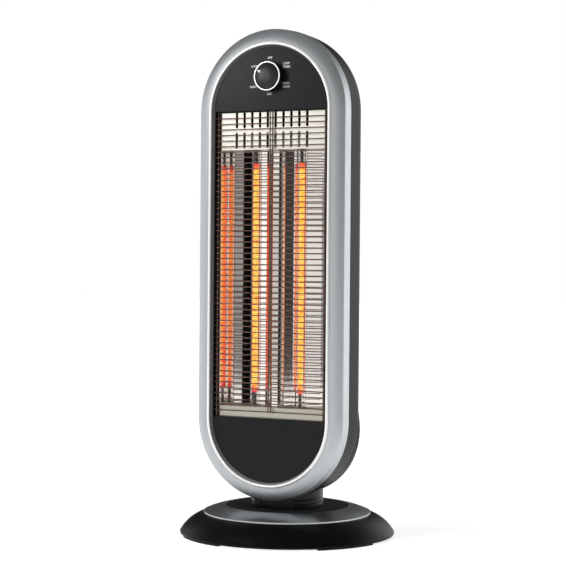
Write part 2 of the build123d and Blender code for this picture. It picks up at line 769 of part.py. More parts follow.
def lead_in(edges, lead):
    """Straight upright ends, each turned into the winding by one bend."""
    up = Vector(0, 0, 1)
    first, last = edges[0], edges[-1]
    start = first @ 0
    end = last @ 1
    begin = Vector(start.X, start.Y - COIL_LEAD_BACK, start.Z - COIL_LEAD_RISE)
    finish = Vector(end.X, end.Y + COIL_LEAD_BACK, end.Z + COIL_LEAD_RISE)
    before = biarc(begin, up, start, first % 0)
    after = biarc(end, last % 1, finish, up)
    foot = Vector(begin.X, begin.Y, begin.Z - lead)
    head = Vector(finish.X, finish.Y, finish.Z + lead)
    return [Edge.make_line(foot, begin)] + before + edges + after + [Edge.make_line(finish, head)]


def tube(path, radius):
    """A round section swept along a wire."""
    start = path @ 0
    section = Plane(origin=start, z_dir=path % 0) * Circle(radius)
    return sweep(section, path=path)


# Neck and pivot

def neck_blank(radius, flat, low):
    """A round column with a flat front, up to the head."""
    blank = rod_z(0, 0, radius, low, NECK_TOP)
    return blank - box(-radius, radius, -radius - OVER, flat, low - OVER, NECK_TOP + OVER)


def head_envelope(margin):
    """The space that the rear housing takes above the neck, with room round it."""
    return housing_form(-margin)


def shoulder(drop):
    """The sloping roof over the part of the neck that stands out behind the head."""
    low_y, low_z = NECK_SHOULDER_LOW
    high_y, high_z = NECK_SHOULDER_HIGH
    slope = [(low_y, low_z - drop), (high_y, high_z - drop)]
    side = make_face(Polyline(*slope, (high_y, REACH), (low_y, REACH), close=True))
    sketch = Plane(origin=(NECK_RADIUS, 0, 0), x_dir=(0, 1, 0), z_dir=(1, 0, 0)) * side
    return extrude(sketch, amount=-2 * NECK_RADIUS)


def neck_whole():
    inside = neck_blank(NECK_RADIUS - NECK_WALL, NECK_FLAT + NECK_WALL, NECK_LOW - OVER)
    neck = neck_blank(NECK_RADIUS, NECK_FLAT, NECK_LOW) - shoulder(0)
    neck -= inside - shoulder(NECK_WALL)
    for height in GROOVE_HEIGHTS:
        neck -= Pos(0, 0, height) * Torus(NECK_RADIUS, GROOVE)
    width, tall = NECK_WINDOW
    window = Pos(0, NECK_WINDOW_Z) * RectangleRounded(width, tall, NECK_WINDOW_ROUND)
    neck -= slab(window, NECK_FLAT - OVER, NECK_FLAT + NECK_WINDOW_DEPTH)
    inner, outer = NECK_LUG_X
    lug_low = TURNTABLE_LOW + TURNTABLE_THICK
    lug = box(inner, outer, -NECK_LUG_HALF, NECK_LUG_HALF, lug_low, NECK_LUG_TOP)
    neck += lug
    neck += mirror(lug, about=Plane.YZ)
    for x, y in neck_screw_places():
        neck -= rod_z(x, y, NECK_SCREW + SEAT, TURNTABLE_LOW, NECK_SCREW_TIP + OVER)
    return neck - head_envelope(GAP)


def make_neck_front():
    return neck_whole() & box(-REACH, REACH, -REACH, -SEAT / 2, 0, REACH)


def make_neck_rear():
    return neck_whole() & box(-REACH, REACH, SEAT / 2, REACH, 0, REACH)


def make_turntable_plate():
    plate = rod_z(0, 0, TURNTABLE_RADIUS, TURNTABLE_LOW, TURNTABLE_LOW + TURNTABLE_THICK)
    plate -= box(-REACH, REACH, -REACH, NECK_FLAT + NECK_WALL + GAP, 0, REACH)
    plate -= rod_z(0, 0, POST_RADIUS, 0, REACH)
    for x, y in neck_screw_places():
        plate -= rod_z(x, y, NECK_SCREW + SCREW_ROOM, 0, REACH)
    return plate


def neck_screw_places():
    places = []
    for side in (-1, 1):
        for depth in (-NECK_SCREW_Y, NECK_SCREW_Y):
            places.append((side * NECK_SCREW_X, depth))
    return places


def make_neck_screws():
    screws = []
    radius, height = NECK_SCREW_HEAD
    for x, y in neck_screw_places():
        head = rod_z(x, y, radius, TURNTABLE_LOW - height, TURNTABLE_LOW)
        screws.append(head + rod_z(x, y, NECK_SCREW, TURNTABLE_LOW, NECK_SCREW_TIP))
    return screws


def make_pivot_post():
    return ring_z(POST_RADIUS, POST_BORE, POST_LOW, POST_HIGH)


def make_post_nut():
    low = POST_LOW
    nut = extrude(Pos(0, 0, low) * RegularPolygon(NUT_RADIUS, 6), amount=NUT_THICK)
    nut += rod_z(0, 0, POST_RADIUS + NUT_COLLAR, low + NUT_THICK, GEAR_LOW - NUT_ROOM)
    return nut - rod_z(0, 0, POST_RADIUS, 0, GEAR_LOW)


def make_post_clamps():
    """Two blocks that hold the post against the housing's back."""
    clamps = []
    for height, back in ((CLAMP_LOW, CLAMP_BACK), (CLAMP_HIGH, bulge_inner_y())):
        low, high = height - CLAMP_HEIGHT / 2, height + CLAMP_HEIGHT / 2
        block = box(-CLAMP_WIDTH / 2, CLAMP_WIDTH / 2, -POST_RADIUS - CLAMP_WALL, back, low, high)
        clamps.append(block - rod_z(0, 0, POST_RADIUS, low - OVER, high + OVER))
    return clamps


def bulge_inner_y():
    return BULGE_BACK - HOUSING_WALL - SEAT


# Head shells

def bezel_section():
    """The bezel: convex face, crease, side, and an inner lip for the trim ring."""
    t = BEZEL_WALL
    edge = BEZEL_RADIUS
    face_in = (RING_OUTER + SEAT, -BEZEL_FACE)
    face_mid = ((RING_OUTER + edge) / 2, -(BEZEL_FACE + BEZEL_CREASE) / 2 - BEZEL_CROWN)
    crease = (edge - CREASE_INSET, -BEZEL_CREASE)
    side_front = (edge, -BEZEL_CREASE + CREASE_DROP)
    side_back = (edge + BEZEL_DRAFT, SEAM)
    core_back = (edge + BEZEL_DRAFT - t, SEAM)
    core_front = (edge - t, -BEZEL_CREASE + t + CREASE_CORE)
    back = PANEL_FRONT - SEAT
    outline = Line((LIP_INNER, LIP_FLOOR), (RING_OUTER + SEAT, LIP_FLOOR))
    outline += Line((RING_OUTER + SEAT, LIP_FLOOR), face_in)
    outline += ThreePointArc(face_in, face_mid, crease)
    outline += Line(crease, side_front)
    outline += Line(side_front, side_back)
    outline += Line(side_back, core_back)
    outline += Line(core_back, core_front)
    outline += Line(core_front, (RING_OUTER + LIP_ROOM, back))
    outline += Line((RING_OUTER + LIP_ROOM, back), (LIP_INNER, back))
    outline += Line((LIP_INNER, back), (LIP_INNER, LIP_FLOOR))
    return make_face(outline)


def make_front_bezel():
    bezel = racetrack(bezel_section())
    post_front = -BEZEL_CREASE - BEZEL_POST_DEPTH
    for x, z in outline_points(SCREW_CIRCLE):
        bezel += rod_y(x, z, BOSS_RADIUS, post_front, WELL_DEPTH_Y - HOUSING_WALL - SEAT)
    for x, z in outline_points(SCREW_CIRCLE):
        bezel -= rod_y(x, z, SCREW_RADIUS, BEZEL_PILOT_Y, WELL_DEPTH_Y)
    for x, z in outline_points(TRIM_SCREW_CIRCLE):
        bezel -= rod_y(x, z, TRIM_SCREW + SEAT, LIP_FLOOR - OVER, PANEL_FRONT + OVER)
    return bezel


def make_bezel_trim_ring():
    """A bright hook section: rounded crest outside, a bevel down to the panel inside."""
    crest_mid = ((RING_OUTER + RING_INNER) / 2, RING_CREST)
    outer_top = (RING_OUTER, RING_CREST + RING_SHOULDER[0])
    inner_top = (RING_INNER, RING_CREST + RING_SHOULDER[1])
    foot = (BEVEL_FOOT, PANEL_FRONT - SEAT)
    outline = Line((RING_OUTER, LIP_FLOOR - SEAT), outer_top)
    outline += ThreePointArc(outer_top, crest_mid, inner_top)
    outline += Line(inner_top, foot)
    outline += Line(foot, (LIP_INNER - SEAT, PANEL_FRONT - SEAT))
    outline += Line((LIP_INNER - SEAT, PANEL_FRONT - SEAT), (LIP_INNER - SEAT, LIP_FLOOR - SEAT))
    outline += Line((LIP_INNER - SEAT, LIP_FLOOR - SEAT), (RING_OUTER, LIP_FLOOR - SEAT))
    ring = racetrack(make_face(outline))
    for x, z in outline_points(TRIM_SCREW_CIRCLE):
        ring -= rod_y(x, z, TRIM_SCREW, TRIM_SCREW_TIP, PANEL_FRONT)
    return ring


def make_trim_screws():
    """Small screws from behind that clamp the panel and the bezel's lip to the trim ring."""
    back = PANEL_FRONT + PANEL_THICK
    radius, height = TRIM_SCREW_HEAD
    screws = []
    for x, z in outline_points(TRIM_SCREW_CIRCLE):
        shank = rod_y(x, z, TRIM_SCREW, TRIM_SCREW_TIP, back)
        screws.append(shank + rod_y(x, z, radius, back, back + height))
    return screws


def make_front_panel():
    """The black face with its opening, the walls of the recess behind it, and the guard's ledges."""
    panel_back = PANEL_FRONT + PANEL_THICK
    panel = slab(stadium(PANEL_RADIUS), PANEL_FRONT, panel_back)
    wide = OPENING_HALF + RECESS_WALL
    low = OPENING_LOW - RECESS_WALL
    high = OPENING_HIGH + RECESS_WALL
    panel += box(-wide, wide, PANEL_FRONT + SINK, RECESS_BACK, low, high)
    panel -= box(-OPENING_HALF, OPENING_HALF, PANEL_FRONT - OVER, RECESS_BACK + OVER,
                 OPENING_LOW, OPENING_HIGH)
    ledge_back = LEDGE_FRONT + LEDGE_THICK
    ledge = box(-wide, wide, LEDGE_FRONT, ledge_back, low, high)
    ledge -= box(-LEDGE_INNER, LEDGE_INNER, LEDGE_FRONT - OVER, ledge_back + OVER,
                 OPENING_LOW, OPENING_HIGH - LEDGE_DROP)
    panel += ledge
    panel -= rod_y(0, DIAL_Z, BUSH_RADIUS + SEAT, PANEL_FRONT - OVER, panel_back + OVER)
    for x, z in outline_points(TRIM_SCREW_CIRCLE):
        panel -= rod_y(x, z, TRIM_SCREW + SEAT, PANEL_FRONT - OVER, panel_back + OVER)
    return panel


def housing_profile(inset):
    """The rear housing's outer shape in (radius, depth), or its inner one."""
    front = SEAM if inset == 0 else SEAM - OVER
    side = (HOUSING_DRAFT_RADIUS - inset, HOUSING_CORNER_Y)
    round_r = HOUSING_CORNER - inset
    centre = (HOUSING_DRAFT_RADIUS - HOUSING_CORNER, HOUSING_CORNER_Y)
    half = HOUSING_TURN / 2
    mid = (centre[0] + round_r * cos(half), centre[1] + round_r * sin(half))
    end = (centre[0] + round_r * cos(HOUSING_TURN), centre[1] + round_r * sin(HOUSING_TURN))
    foot = (BULGE_FOOT - inset, HOUSING_BACK - inset)
    top = (BULGE_TOP - inset, BULGE_BACK - inset)
    outline = Line((0, front), (HOUSING_RADIUS - inset, front))
    outline += Line((HOUSING_RADIUS - inset, front), side)
    outline += ThreePointArc(side, mid, end)
    outline += Line(end, foot)
    outline += Line(foot, top)
    outline += Line(top, (0, BULGE_BACK - inset))
    outline += Line((0, BULGE_BACK - inset), (0, front))
    return make_face(outline)


def housing_chin(inset):
    """The housing's deeper foot: the head's lower outline, carried back to a sloping plane."""
    radius = CHIN_RADIUS - inset
    corners = [(0, CHIN_FRONT), (radius, CHIN_FRONT), (radius, REACH), (0, REACH)]
    blank = racetrack(make_face(Polyline(*corners, close=True)))
    low, high = Vector(*CHIN_LOW), Vector(*CHIN_HIGH)
    along = (high - low).normalized()
    across = Vector(along.Y, -along.X)
    start = low - along * REACH - across * inset
    stop = low + along * REACH * 2 - across * inset
    behind = [start, stop, stop + across * REACH * 2, start + across * REACH * 2]
    side = make_face(Polyline(*[(spot.X, spot.Y) for spot in behind], close=True))
    sketch = Plane(origin=(-REACH, 0, 0), x_dir=(0, 1, 0), z_dir=(1, 0, 0)) * side
    chin = blank - extrude(sketch, amount=2 * REACH)
    chin -= box(-REACH, REACH, -REACH, REACH, CHIN_TOP, 2 * REACH)
    slope = Vector(0, across.X, across.Y)
    backs = [face for face in chin.faces() if face.normal_at().dot(slope) > 1 - PARALLEL]
    rims = [edge for edge in backs[0].edges() if edge.center().Z < CHIN_TOP - OVER]
    return fillet(rims, CHIN_ROUND - inset)


def housing_form(inset):
    """The rear housing as a whole: its racetrack with the chin, or its inner form."""
    return racetrack(housing_profile(inset)) + housing_chin(inset)


def vent_rows():
    """Heights of the vent slots, an upper and a lower group."""
    rows = []
    for middle in (UPPER_VENTS, LOWER_VENTS):
        for k in range(VENT_COUNT):
            rows.append(middle + (k - (VENT_COUNT - 1) / 2) * VENT_PITCH)
    return rows


def make_rear_housing():
    outside = housing_form(0)
    housing = outside - housing_form(HOUSING_WALL)
    wells = outline_points(SCREW_CIRCLE)
    floor = WELL_DEPTH_Y - HOUSING_WALL
    for x, z in wells:
        housing += outside & rod_y(x, z, WELL_RADIUS + WELL_WALL, floor, BULGE_BACK)
    for x, z in wells:
        housing -= rod_y(x, z, WELL_RADIUS, WELL_DEPTH_Y, BULGE_BACK)
        housing -= rod_y(x, z, SCREW_RADIUS + SCREW_ROOM, floor - OVER, WELL_DEPTH_Y + OVER)
    grip_low = GRIP_Z - GRIP_HEIGHT / 2
    grip_high = GRIP_Z + GRIP_HEIGHT / 2
    half = GRIP_WIDTH / 2
    pocket = BULGE_BACK - GRIP_DEPTH
    w = HOUSING_WALL
    housing += box(-half - w, half + w, pocket - w, BULGE_BACK - SINK, grip_low - w, grip_high + w)
    housing -= box(-half, half, pocket, BULGE_BACK + OVER, grip_low, grip_high)
    vent = SlotOverall(VENT_LENGTH, VENT_WIDTH)
    for height in vent_rows():
        housing -= slab(Pos(0, height) * vent, BULGE_BACK - HOUSING_WALL - OVER, BULGE_BACK + OVER)
    housing_low = HEAD_BOTTOM_CENTRE - HOUSING_RADIUS
    housing -= rod_z(0, 0, POST_RADIUS + SEAT, housing_low - OVER, CLAMP_LOW - CLAMP_HEIGHT)
    return housing + shield_posts()


def shield_places():
    middle = (SHIELD_LOW + SHIELD_HIGH) / 2
    heights = (SHIELD_LOW + SHIELD_POST_INSET, middle, SHIELD_HIGH - SHIELD_POST_INSET)
    return [(x, z) for x in (-SHIELD_POST_X, SHIELD_POST_X) for z in heights]


def shield_posts():
    """Posts moulded on the housing's back that carry the heat shield."""
    posts = []
    for x, z in shield_places():
        posts.append(rod_y(x, z, BOSS_RADIUS, SHIELD_Y + SHIELD_SHEET, BULGE_BACK - 2 * SINK))
    whole = posts[0]
    for post in posts[1:]:
        whole += post
    return whole


def make_housing_screws():
    screws = []
    radius, height = WELL_HEAD
    length, width, depth = CROSS_SLOT
    top = WELL_DEPTH_Y + height
    for x, z in outline_points(SCREW_CIRCLE):
        head = rod_y(x, z, radius, WELL_DEPTH_Y, top)
        shank = rod_y(x, z, SCREW_RADIUS, BEZEL_PILOT_Y + SINK, WELL_DEPTH_Y)
        slot = Pos(x, top, z) * Box(length, 2 * depth, width)
        cross = Pos(x, top, z) * Box(width, 2 * depth, length)
        screws.append(head + shank - slot - cross)
    return screws


# Heating unit

def make_wire_guard():
    middle_y = GUARD_Y
    back_y = GUARD_Y + WIRE / 2 + SIDE_WIRE / 2 - WELD
    pin_y = GUARD_Y + WIRE / 2 + HAIRPIN_WIRE / 2 - WELD
    low = OPENING_LOW + GAP
    high = OPENING_HIGH - GAP
    half = OPENING_HALF - GAP
    uprights = rod_z(-SIDE_WIRE_X, back_y, SIDE_WIRE / 2, low, high)
    uprights += rod_z(SIDE_WIRE_X, back_y, SIDE_WIRE / 2, low, high)
    bend_z = RUNG_LOW + HAIRPIN_X
    for side in (-1, 1):
        uprights += rod_z(side * HAIRPIN_X, pin_y, HAIRPIN_WIRE / 2, bend_z, high)
    ring = Pos(0, pin_y, bend_z) * Rot(90, 0, 0) * Torus(HAIRPIN_X, HAIRPIN_WIRE / 2)
    span = HAIRPIN_X + HAIRPIN_WIRE
    uprights += ring - box(-span, span, pin_y - span, pin_y + span, bend_z, bend_z + span)
    rung = Pos(0, middle_y, RUNG_LOW) * Rot(0, 90, 0) * Cylinder(WIRE / 2, 2 * half)
    rungs = [Pos(0, 0, RUNG_PITCH * k) * rung for k in range(GUARD_RUNGS)]
    return uprights.fuse(*rungs)


def slot_cutters():
    """Two rows of upright slots with round ends."""
    slot = SlotOverall(SLOT_HEIGHT, SLOT_WIDTH, rotation=90)
    cutters = []
    for row in range(2):
        z = SLOT_ROW_LOW + row * SLOT_ROW_PITCH
        for k in range(SLOT_COUNT):
            x = SLOT_SHIFT + (k - (SLOT_COUNT - 1) / 2) * SLOT_PITCH
            cutters.append(slab(Pos(x, z) * slot, PLATE_Y - OVER, PLATE_Y + SHEET + OVER))
    return cutters


def tube_holes(z):
    """Room for both tubes through a level shelf."""
    low, high = z - SHEET - OVER, z + SHEET + OVER
    return [rod_z(side * TUBE_X, TUBE_Y, TUBE_HOLE / 2, low, high) for side in (-1, 1)]


def make_upper_deflector():
    half = OPENING_HALF - SHEET_ROOM
    plate = box(-half, half, PLATE_Y, PLATE_Y + SHEET, UPPER_PLATE_LOW, OPENING_HIGH - GAP)
    shelf = box(-half, half, PLATE_Y, SHIELD_Y - GAP, UPPER_PLATE_LOW, UPPER_PLATE_LOW + SHEET)
    plate = plate.cut(*slot_cutters())
    return (plate + shelf).cut(*tube_holes(UPPER_PLATE_LOW))


def make_lower_deflector():
    half = OPENING_HALF - SHEET_ROOM
    plate = box(-half, half, PLATE_Y, PLATE_Y + SHEET, OPENING_LOW + GAP, LOWER_PLATE_HIGH)
    shelf = box(-half, half, PLATE_Y, SHIELD_Y - GAP, LOWER_PLATE_HIGH - SHEET, LOWER_PLATE_HIGH)
    return (plate + shelf).cut(*tube_holes(LOWER_PLATE_HIGH))


def reflector_line():
    """The reflector's section from the left edge to the right, in X and Y."""
    right = [RIDGE_EDGE, RIDGE_FOOT, TROUGH_INNER, CREST, TROUGH_OUTER, SIDE_FOOT, REFLECTOR_EDGE]
    left = [(-x, y) for x, y in reversed(right)]
    return left + right


def make_reflector():
    line = Polyline(*reflector_line())
    band = trace_sheet(line, REFLECTOR_SHEET)
    low = LOWER_PLATE_HIGH + SEAT
    return extrude(Pos(0, 0, low) * band, amount=UPPER_PLATE_LOW - SEAT - low)


def trace_sheet(line, thick):
    """A bent sheet's section behind an open line, with mitred bends."""
    points = [line @ 0] + [edge @ 1 for edge in line.edges()]
    behind = []
    for k, point in enumerate(points):
        before = (point - points[k - 1]).normalized() if k else None
        after = (points[k + 1] - point).normalized() if k < len(points) - 1 else None
        before = before or after
        after = after or before
        normal_a = Vector(-before.Y, before.X)
        normal_b = Vector(-after.Y, after.X)
        mitre = (normal_a + normal_b).normalized()
        behind.append(point + mitre * (thick / mitre.dot(normal_a)))
    outline = [(p.X, p.Y) for p in points] + [(p.X, p.Y) for p in reversed(behind)]
    return make_face(Polyline(*outline, close=True))


def make_heat_shield():
    shield = box(-SHIELD_HALF, SHIELD_HALF, SHIELD_Y, SHIELD_Y + SHIELD_SHEET, SHIELD_LOW, SHIELD_HIGH)
    for x, z in shield_places():
        shield -= rod_y(x, z, SHIELD_SCREW_HOLE, SHIELD_Y - OVER, SHIELD_Y + SHIELD_SHEET + OVER)
    return shield


def make_shield_screws():
    screws = []
    for x, z in shield_places():
        head = rod_y(x, z, HEAD_RADIUS, SHIELD_Y - HEAD_HEIGHT, SHIELD_Y)
        screws.append(head + rod_y(x, z, SHIELD_SCREW, SHIELD_Y, SHIELD_Y + SHIELD_SHEET))
    return screws


def make_quartz_tube(side):
    outer = rod_z(side * TUBE_X, TUBE_Y, TUBE_OUTER, TUBE_LOW, TUBE_HIGH)
    return outer - rod_z(side * TUBE_X, TUBE_Y, TUBE_OUTER - TUBE_WALL, TUBE_LOW - OVER, TUBE_HIGH + OVER)


def make_carbon_filament(side):
    """One wound filament with upright ends that reach the caps."""
    rise = (GLOW_HIGH - GLOW_LOW) / COIL_TURNS
    lead = GLOW_LOW - COIL_LEAD_RISE - TUBE_LOW
    path, gap = winding((side * TUBE_X, TUBE_Y), COIL_RADIUS, GLOW_LOW, rise, COIL_TURNS, lead)
    if side > 0:
        print("filament, least gap between turns", round(gap - 2 * COIL_WIRE, 2), "mm")
    return tube(path, COIL_WIRE)


def make_ceramic_caps():
    """Four square caps, one on each tube end, with a bore for the tube."""
    caps = []
    half = CAP_SIZE / 2
    for side in (-1, 1):
        x = side * TUBE_X
        for end, inward in ((TUBE_LOW, 1), (TUBE_HIGH, -1)):
            near = end + inward * CAP_GRIP
            far = near - inward * CAP_LENGTH
            low, high = min(near, far), max(near, far)
            cap = box(x - half, x + half, TUBE_Y - half, TUBE_Y + half, low, high)
            bore_low, bore_high = min(end, near + inward), max(end, near + inward)
            cap -= rod_z(x, TUBE_Y, TUBE_OUTER + FIT, bore_low, bore_high)
            caps.append(cap)
    return caps


def make_tube_brackets():
    """Two bent straps on the shield that hold the caps."""
    half = CAP_SIZE / 2 + SEAT
    reach = TUBE_X + STRAP_REACH
    back = SHIELD_Y - SEAT
    straps = []
    for z in (TUBE_LOW - STRAP_SET, TUBE_HIGH + STRAP_SET):
        low, high = z - STRAP_SHEET / 2, z + STRAP_SHEET / 2
        strap = box(-reach, reach, TUBE_Y - half - STRAP_FRONT, back, low, high)
        strap += box(-reach, reach, back - STRAP_SHEET, back, z - STRAP_FOOT, z + STRAP_FOOT)
        for side in (-1, 1):
            x = side * TUBE_X
            strap -= box(x - half, x + half, TUBE_Y - half, TUBE_Y + half, low - OVER, high + OVER)
        straps.append(strap)
    return straps


def make_thermal_cutout():
    """A round switch with two ears and two tabs, on the shield's back."""
    back = SHIELD_Y + SHIELD_SHEET
    ear_width, ear_thick, ear_height = CUTOUT_EAR
    tab_width, tab_length, tab_thick = CUTOUT_TAB
    body = rod_y(0, CUTOUT_Z, CUTOUT_RADIUS, back, back + CUTOUT_DEPTH)
    body += Pos(0, back + ear_thick / 2, CUTOUT_Z) * Box(ear_width, ear_thick, ear_height)
    for side in (-1, 1):
        place = Pos(side * CUTOUT_TAB_X, back + CUTOUT_DEPTH + tab_length / 2, CUTOUT_Z)
        body += place * Box(tab_width, tab_length, tab_thick)
    return body


def make_terminal_block():
    width, depth, height = TERMINAL_SIZE
    middle_y = bulge_inner_y() - depth / 2
    block = Pos(0, middle_y, TERMINAL_Z) * Box(width, depth, height)
    for x in terminal_places():
        block -= Pos(x, middle_y, TERMINAL_Z) * Cylinder(TERMINAL_BORE, height + 2 * OVER)
    return block


def terminal_places():
    return [(k - (TERMINAL_COUNT - 1) / 2) * TERMINAL_PITCH for k in range(TERMINAL_COUNT)]


def wire_run(points, radii):
    """One insulated lead on straight runs and tangent arcs."""
    path = FilletPolyline(*points, radius=radii)
    return tube(Wire(path.edges()), LEAD_RADIUS)


def make_lead_wires():
    """Leads from the caps to the terminal block, behind the shield."""
    leads = []
    back = bulge_inner_y()
    cap_low = TUBE_LOW + CAP_GRIP - CAP_LENGTH
    block_low = TERMINAL_Z - TERMINAL_SIZE[2] / 2
    for side, slot in ((-1, terminal_places()[0]), (1, terminal_places()[-1])):
        x = side * TUBE_X
        points = [
            (x, TUBE_Y, cap_low),
            (x, TUBE_Y, cap_low - LEAD_DROP[0]),
            (x, back - LEAD_BACK[0], cap_low - LEAD_DROP[1]),
            (slot, back - LEAD_BACK[1], LEAD_RISE_Z),
            (slot, back - LEAD_BACK[1], block_low + LEAD_ENTRY),
        ]
        leads.append(wire_run(points, list(LEAD_BENDS)))
    return leads


# Dial

def make_rotary_switch():
    back = PANEL_FRONT + PANEL_THICK + SEAT
    half = SWITCH_SIZE / 2
    body = box(-half, half, back, back + SWITCH_DEPTH, DIAL_Z - half, DIAL_Z + half)
    body = fillet(body.edges().filter_by(Axis.Y), SWITCH_ROUND)
    body += rod_y(0, DIAL_Z, BUSH_RADIUS, PANEL_FRONT - BUSH_REACH, back)
    width, length, thick = SWITCH_TAB
    for k in range(SWITCH_TABS):
        x = (k - (SWITCH_TABS - 1) / 2) * SWITCH_TAB_PITCH
        body += Pos(x, back + SWITCH_DEPTH + length / 2, DIAL_Z) * Box(width, length, thick)
    bore = rod_y(0, DIAL_Z, SHAFT_RADIUS + FIT, PANEL_FRONT - BUSH_REACH - OVER, back + SHAFT_ROOM)
    return body - bore


def make_switch_nut():
    radius, reach = NUT_SIZE
    nut = slab(Pos(0, DIAL_Z) * RegularPolygon(radius, 6), PANEL_FRONT - reach, PANEL_FRONT - SEAT)
    return nut - rod_y(0, DIAL_Z, BUSH_RADIUS, PANEL_FRONT - reach - OVER, PANEL_FRONT + OVER)


def make_switch_shaft():
    back = PANEL_FRONT + PANEL_THICK + SEAT
    return rod_y(0, DIAL_Z, SHAFT_RADIUS, KNOB_FRONT + KNOB_SOCKET, back + SHAFT_GRIP)


def make_control_knob():
    """A domed cap with a hollow back over the nut and a socket for the shaft."""
    back = PANEL_FRONT - GAP
    step = KNOB_FRONT + KNOB_STEP
    knob = rod_y(0, DIAL_Z, KNOB_RADIUS, step, back)
    dome = Plane(origin=(0, 0, DIAL_Z), x_dir=(1, 0, 0), z_dir=(0, 0, 1))
    rim = (KNOB_RADIUS - KNOB_RING - SEAT, step)
    part_way = (rim[0] * KNOB_DOME_SHARE, KNOB_FRONT - KNOB_DOME[0])
    top = (0, KNOB_FRONT - KNOB_DOME[1])
    outline = Line((0, step), rim)
    outline += ThreePointArc(rim, part_way, top)
    outline += Line(top, (0, step))
    knob += revolve(dome * make_face(outline), Axis((0, 0, DIAL_Z), (0, 1, 0)), 360)
    knob -= rod_y(0, DIAL_Z, KNOB_RADIUS - KNOB_WALL, PANEL_FRONT - KNOB_HOLLOW, back + OVER)
    knob -= rod_y(0, DIAL_Z, SHAFT_RADIUS, KNOB_FRONT + KNOB_SOCKET, back + OVER)
    return knob - slab(pointer_outline(SEAT), top[1] - OVER, KNOB_FRONT + POINTER_SEAT)


def pointer_outline(margin):
    """A small triangle near the knob's edge, its tip outwards."""
    tip, tail, half = (size + margin for size in POINTER)
    shape = Polyline((tip, 0), (-tail, half), (-tail, -half), close=True)
    turn = Rot(0, 0, POINTER_ANGLE) * Pos(POINTER_RADIUS, 0) * make_face(shape)
    return Pos(0, DIAL_Z) * turn


def make_knob_pointer():
    return slab(pointer_outline(0), KNOB_FRONT - POINTER_FACE, KNOB_FRONT + POINTER_SEAT)


def make_knob_ring():
    back = KNOB_FRONT + KNOB_STEP
    ring = rod_y(0, DIAL_Z, KNOB_RADIUS, KNOB_FRONT, back)
    return ring - rod_y(0, DIAL_Z, KNOB_RADIUS - KNOB_RING, KNOB_FRONT - OVER, back + OVER)


PIECES = {
    "base_cover": make_base_cover,
    "base_trim_ring": make_base_trim_ring,
    "base_inset_disc": make_base_inset_disc,
    "bottom_plate": make_bottom_plate,
    "ballast_ring": make_ballast_ring,
    "foot_pads": make_foot_pads,
    "base_screws": make_base_screws,
    "cord_gland": make_cord_gland,
    "pivot_bush": make_pivot_bush,
    "lower_race": make_lower_race,
    "upper_race": make_upper_race,
    "ball_cage": make_ball_cage,
    "bearing_balls": make_bearing_balls,
    "oscillation_motor": make_oscillation_motor,
    "motor_screws": make_motor_screws,
    "hub_gear": make_hub_gear,
    "motor_pinion": make_motor_pinion,
    "motor_shaft": make_motor_shaft,
    "tip_plunger": make_tip_plunger,
    "tip_switch": make_tip_switch,
    "tip_spring": make_tip_spring,
    "neck_front": make_neck_front,
    "neck_rear": make_neck_rear,
    "turntable_plate": make_turntable_plate,
    "neck_screws": make_neck_screws,
    "pivot_post": make_pivot_post,
    "post_nut": make_post_nut,
    "post_clamps": make_post_clamps,
    "front_bezel": make_front_bezel,
    "bezel_trim_ring": make_bezel_trim_ring,
    "front_panel": make_front_panel,
    "trim_screws": make_trim_screws,
    "rear_housing": make_rear_housing,
    "housing_screws": make_housing_screws,
    "wire_guard": make_wire_guard,
    "upper_deflector": make_upper_deflector,
    "lower_deflector": make_lower_deflector,
    "reflector": make_reflector,
    "heat_shield": make_heat_shield,
    "shield_screws": make_shield_screws,
    "quartz_tube_left": lambda: make_quartz_tube(-1),
    "quartz_tube_right": lambda: make_quartz_tube(1),
    "carbon_filament_left": lambda: make_carbon_filament(-1),
    "carbon_filament_right": lambda: make_carbon_filament(1),
    "ceramic_caps": make_ceramic_caps,
    "tube_brackets": make_tube_brackets,
    "thermal_cutout": make_thermal_cutout,
    "terminal_block": make_terminal_block,
    "lead_wires": make_lead_wires,
    "rotary_switch": make_rotary_switch,
    "switch_nut": make_switch_nut,
    "switch_shaft": make_switch_shaft,
    "control_knob": make_control_knob,
    "knob_pointer": make_knob_pointer,
    "knob_ring": make_knob_ring,
}

os.makedirs("parts", exist_ok=True)
for name, make in PIECES.items():
    shape = make()
    solids = shape if isinstance(shape, list) else [shape]
    whole = Compound(children=[s for piece in solids for s in piece.solids()])
    export_step(whole, "parts/" + name + ".step")
    print(name, len(whole.solids()), "solids")
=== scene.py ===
"""Looks of the carbon heater: finishes, fine pieces, studio and camera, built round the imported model."""

import math

import bmesh
import bpy
from mathutils import Matrix, Vector


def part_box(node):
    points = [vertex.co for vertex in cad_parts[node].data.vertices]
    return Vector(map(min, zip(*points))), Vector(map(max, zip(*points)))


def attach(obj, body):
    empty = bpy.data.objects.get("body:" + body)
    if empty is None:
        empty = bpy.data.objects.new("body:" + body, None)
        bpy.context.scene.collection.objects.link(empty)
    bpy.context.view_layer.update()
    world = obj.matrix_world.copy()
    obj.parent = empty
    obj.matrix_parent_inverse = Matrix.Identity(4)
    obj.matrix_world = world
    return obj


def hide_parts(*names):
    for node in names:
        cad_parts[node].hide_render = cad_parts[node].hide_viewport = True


bl_info = {
    "name": "Carbon heater",
    "version": (1, 0, 0),
    "blender": (4, 5, 0),
    "location": "View3D > Sidebar > Heater",
    "description": "Gives the carbon heater its finishes and fine pieces, and sets up its studio",
    "category": "Object",
}

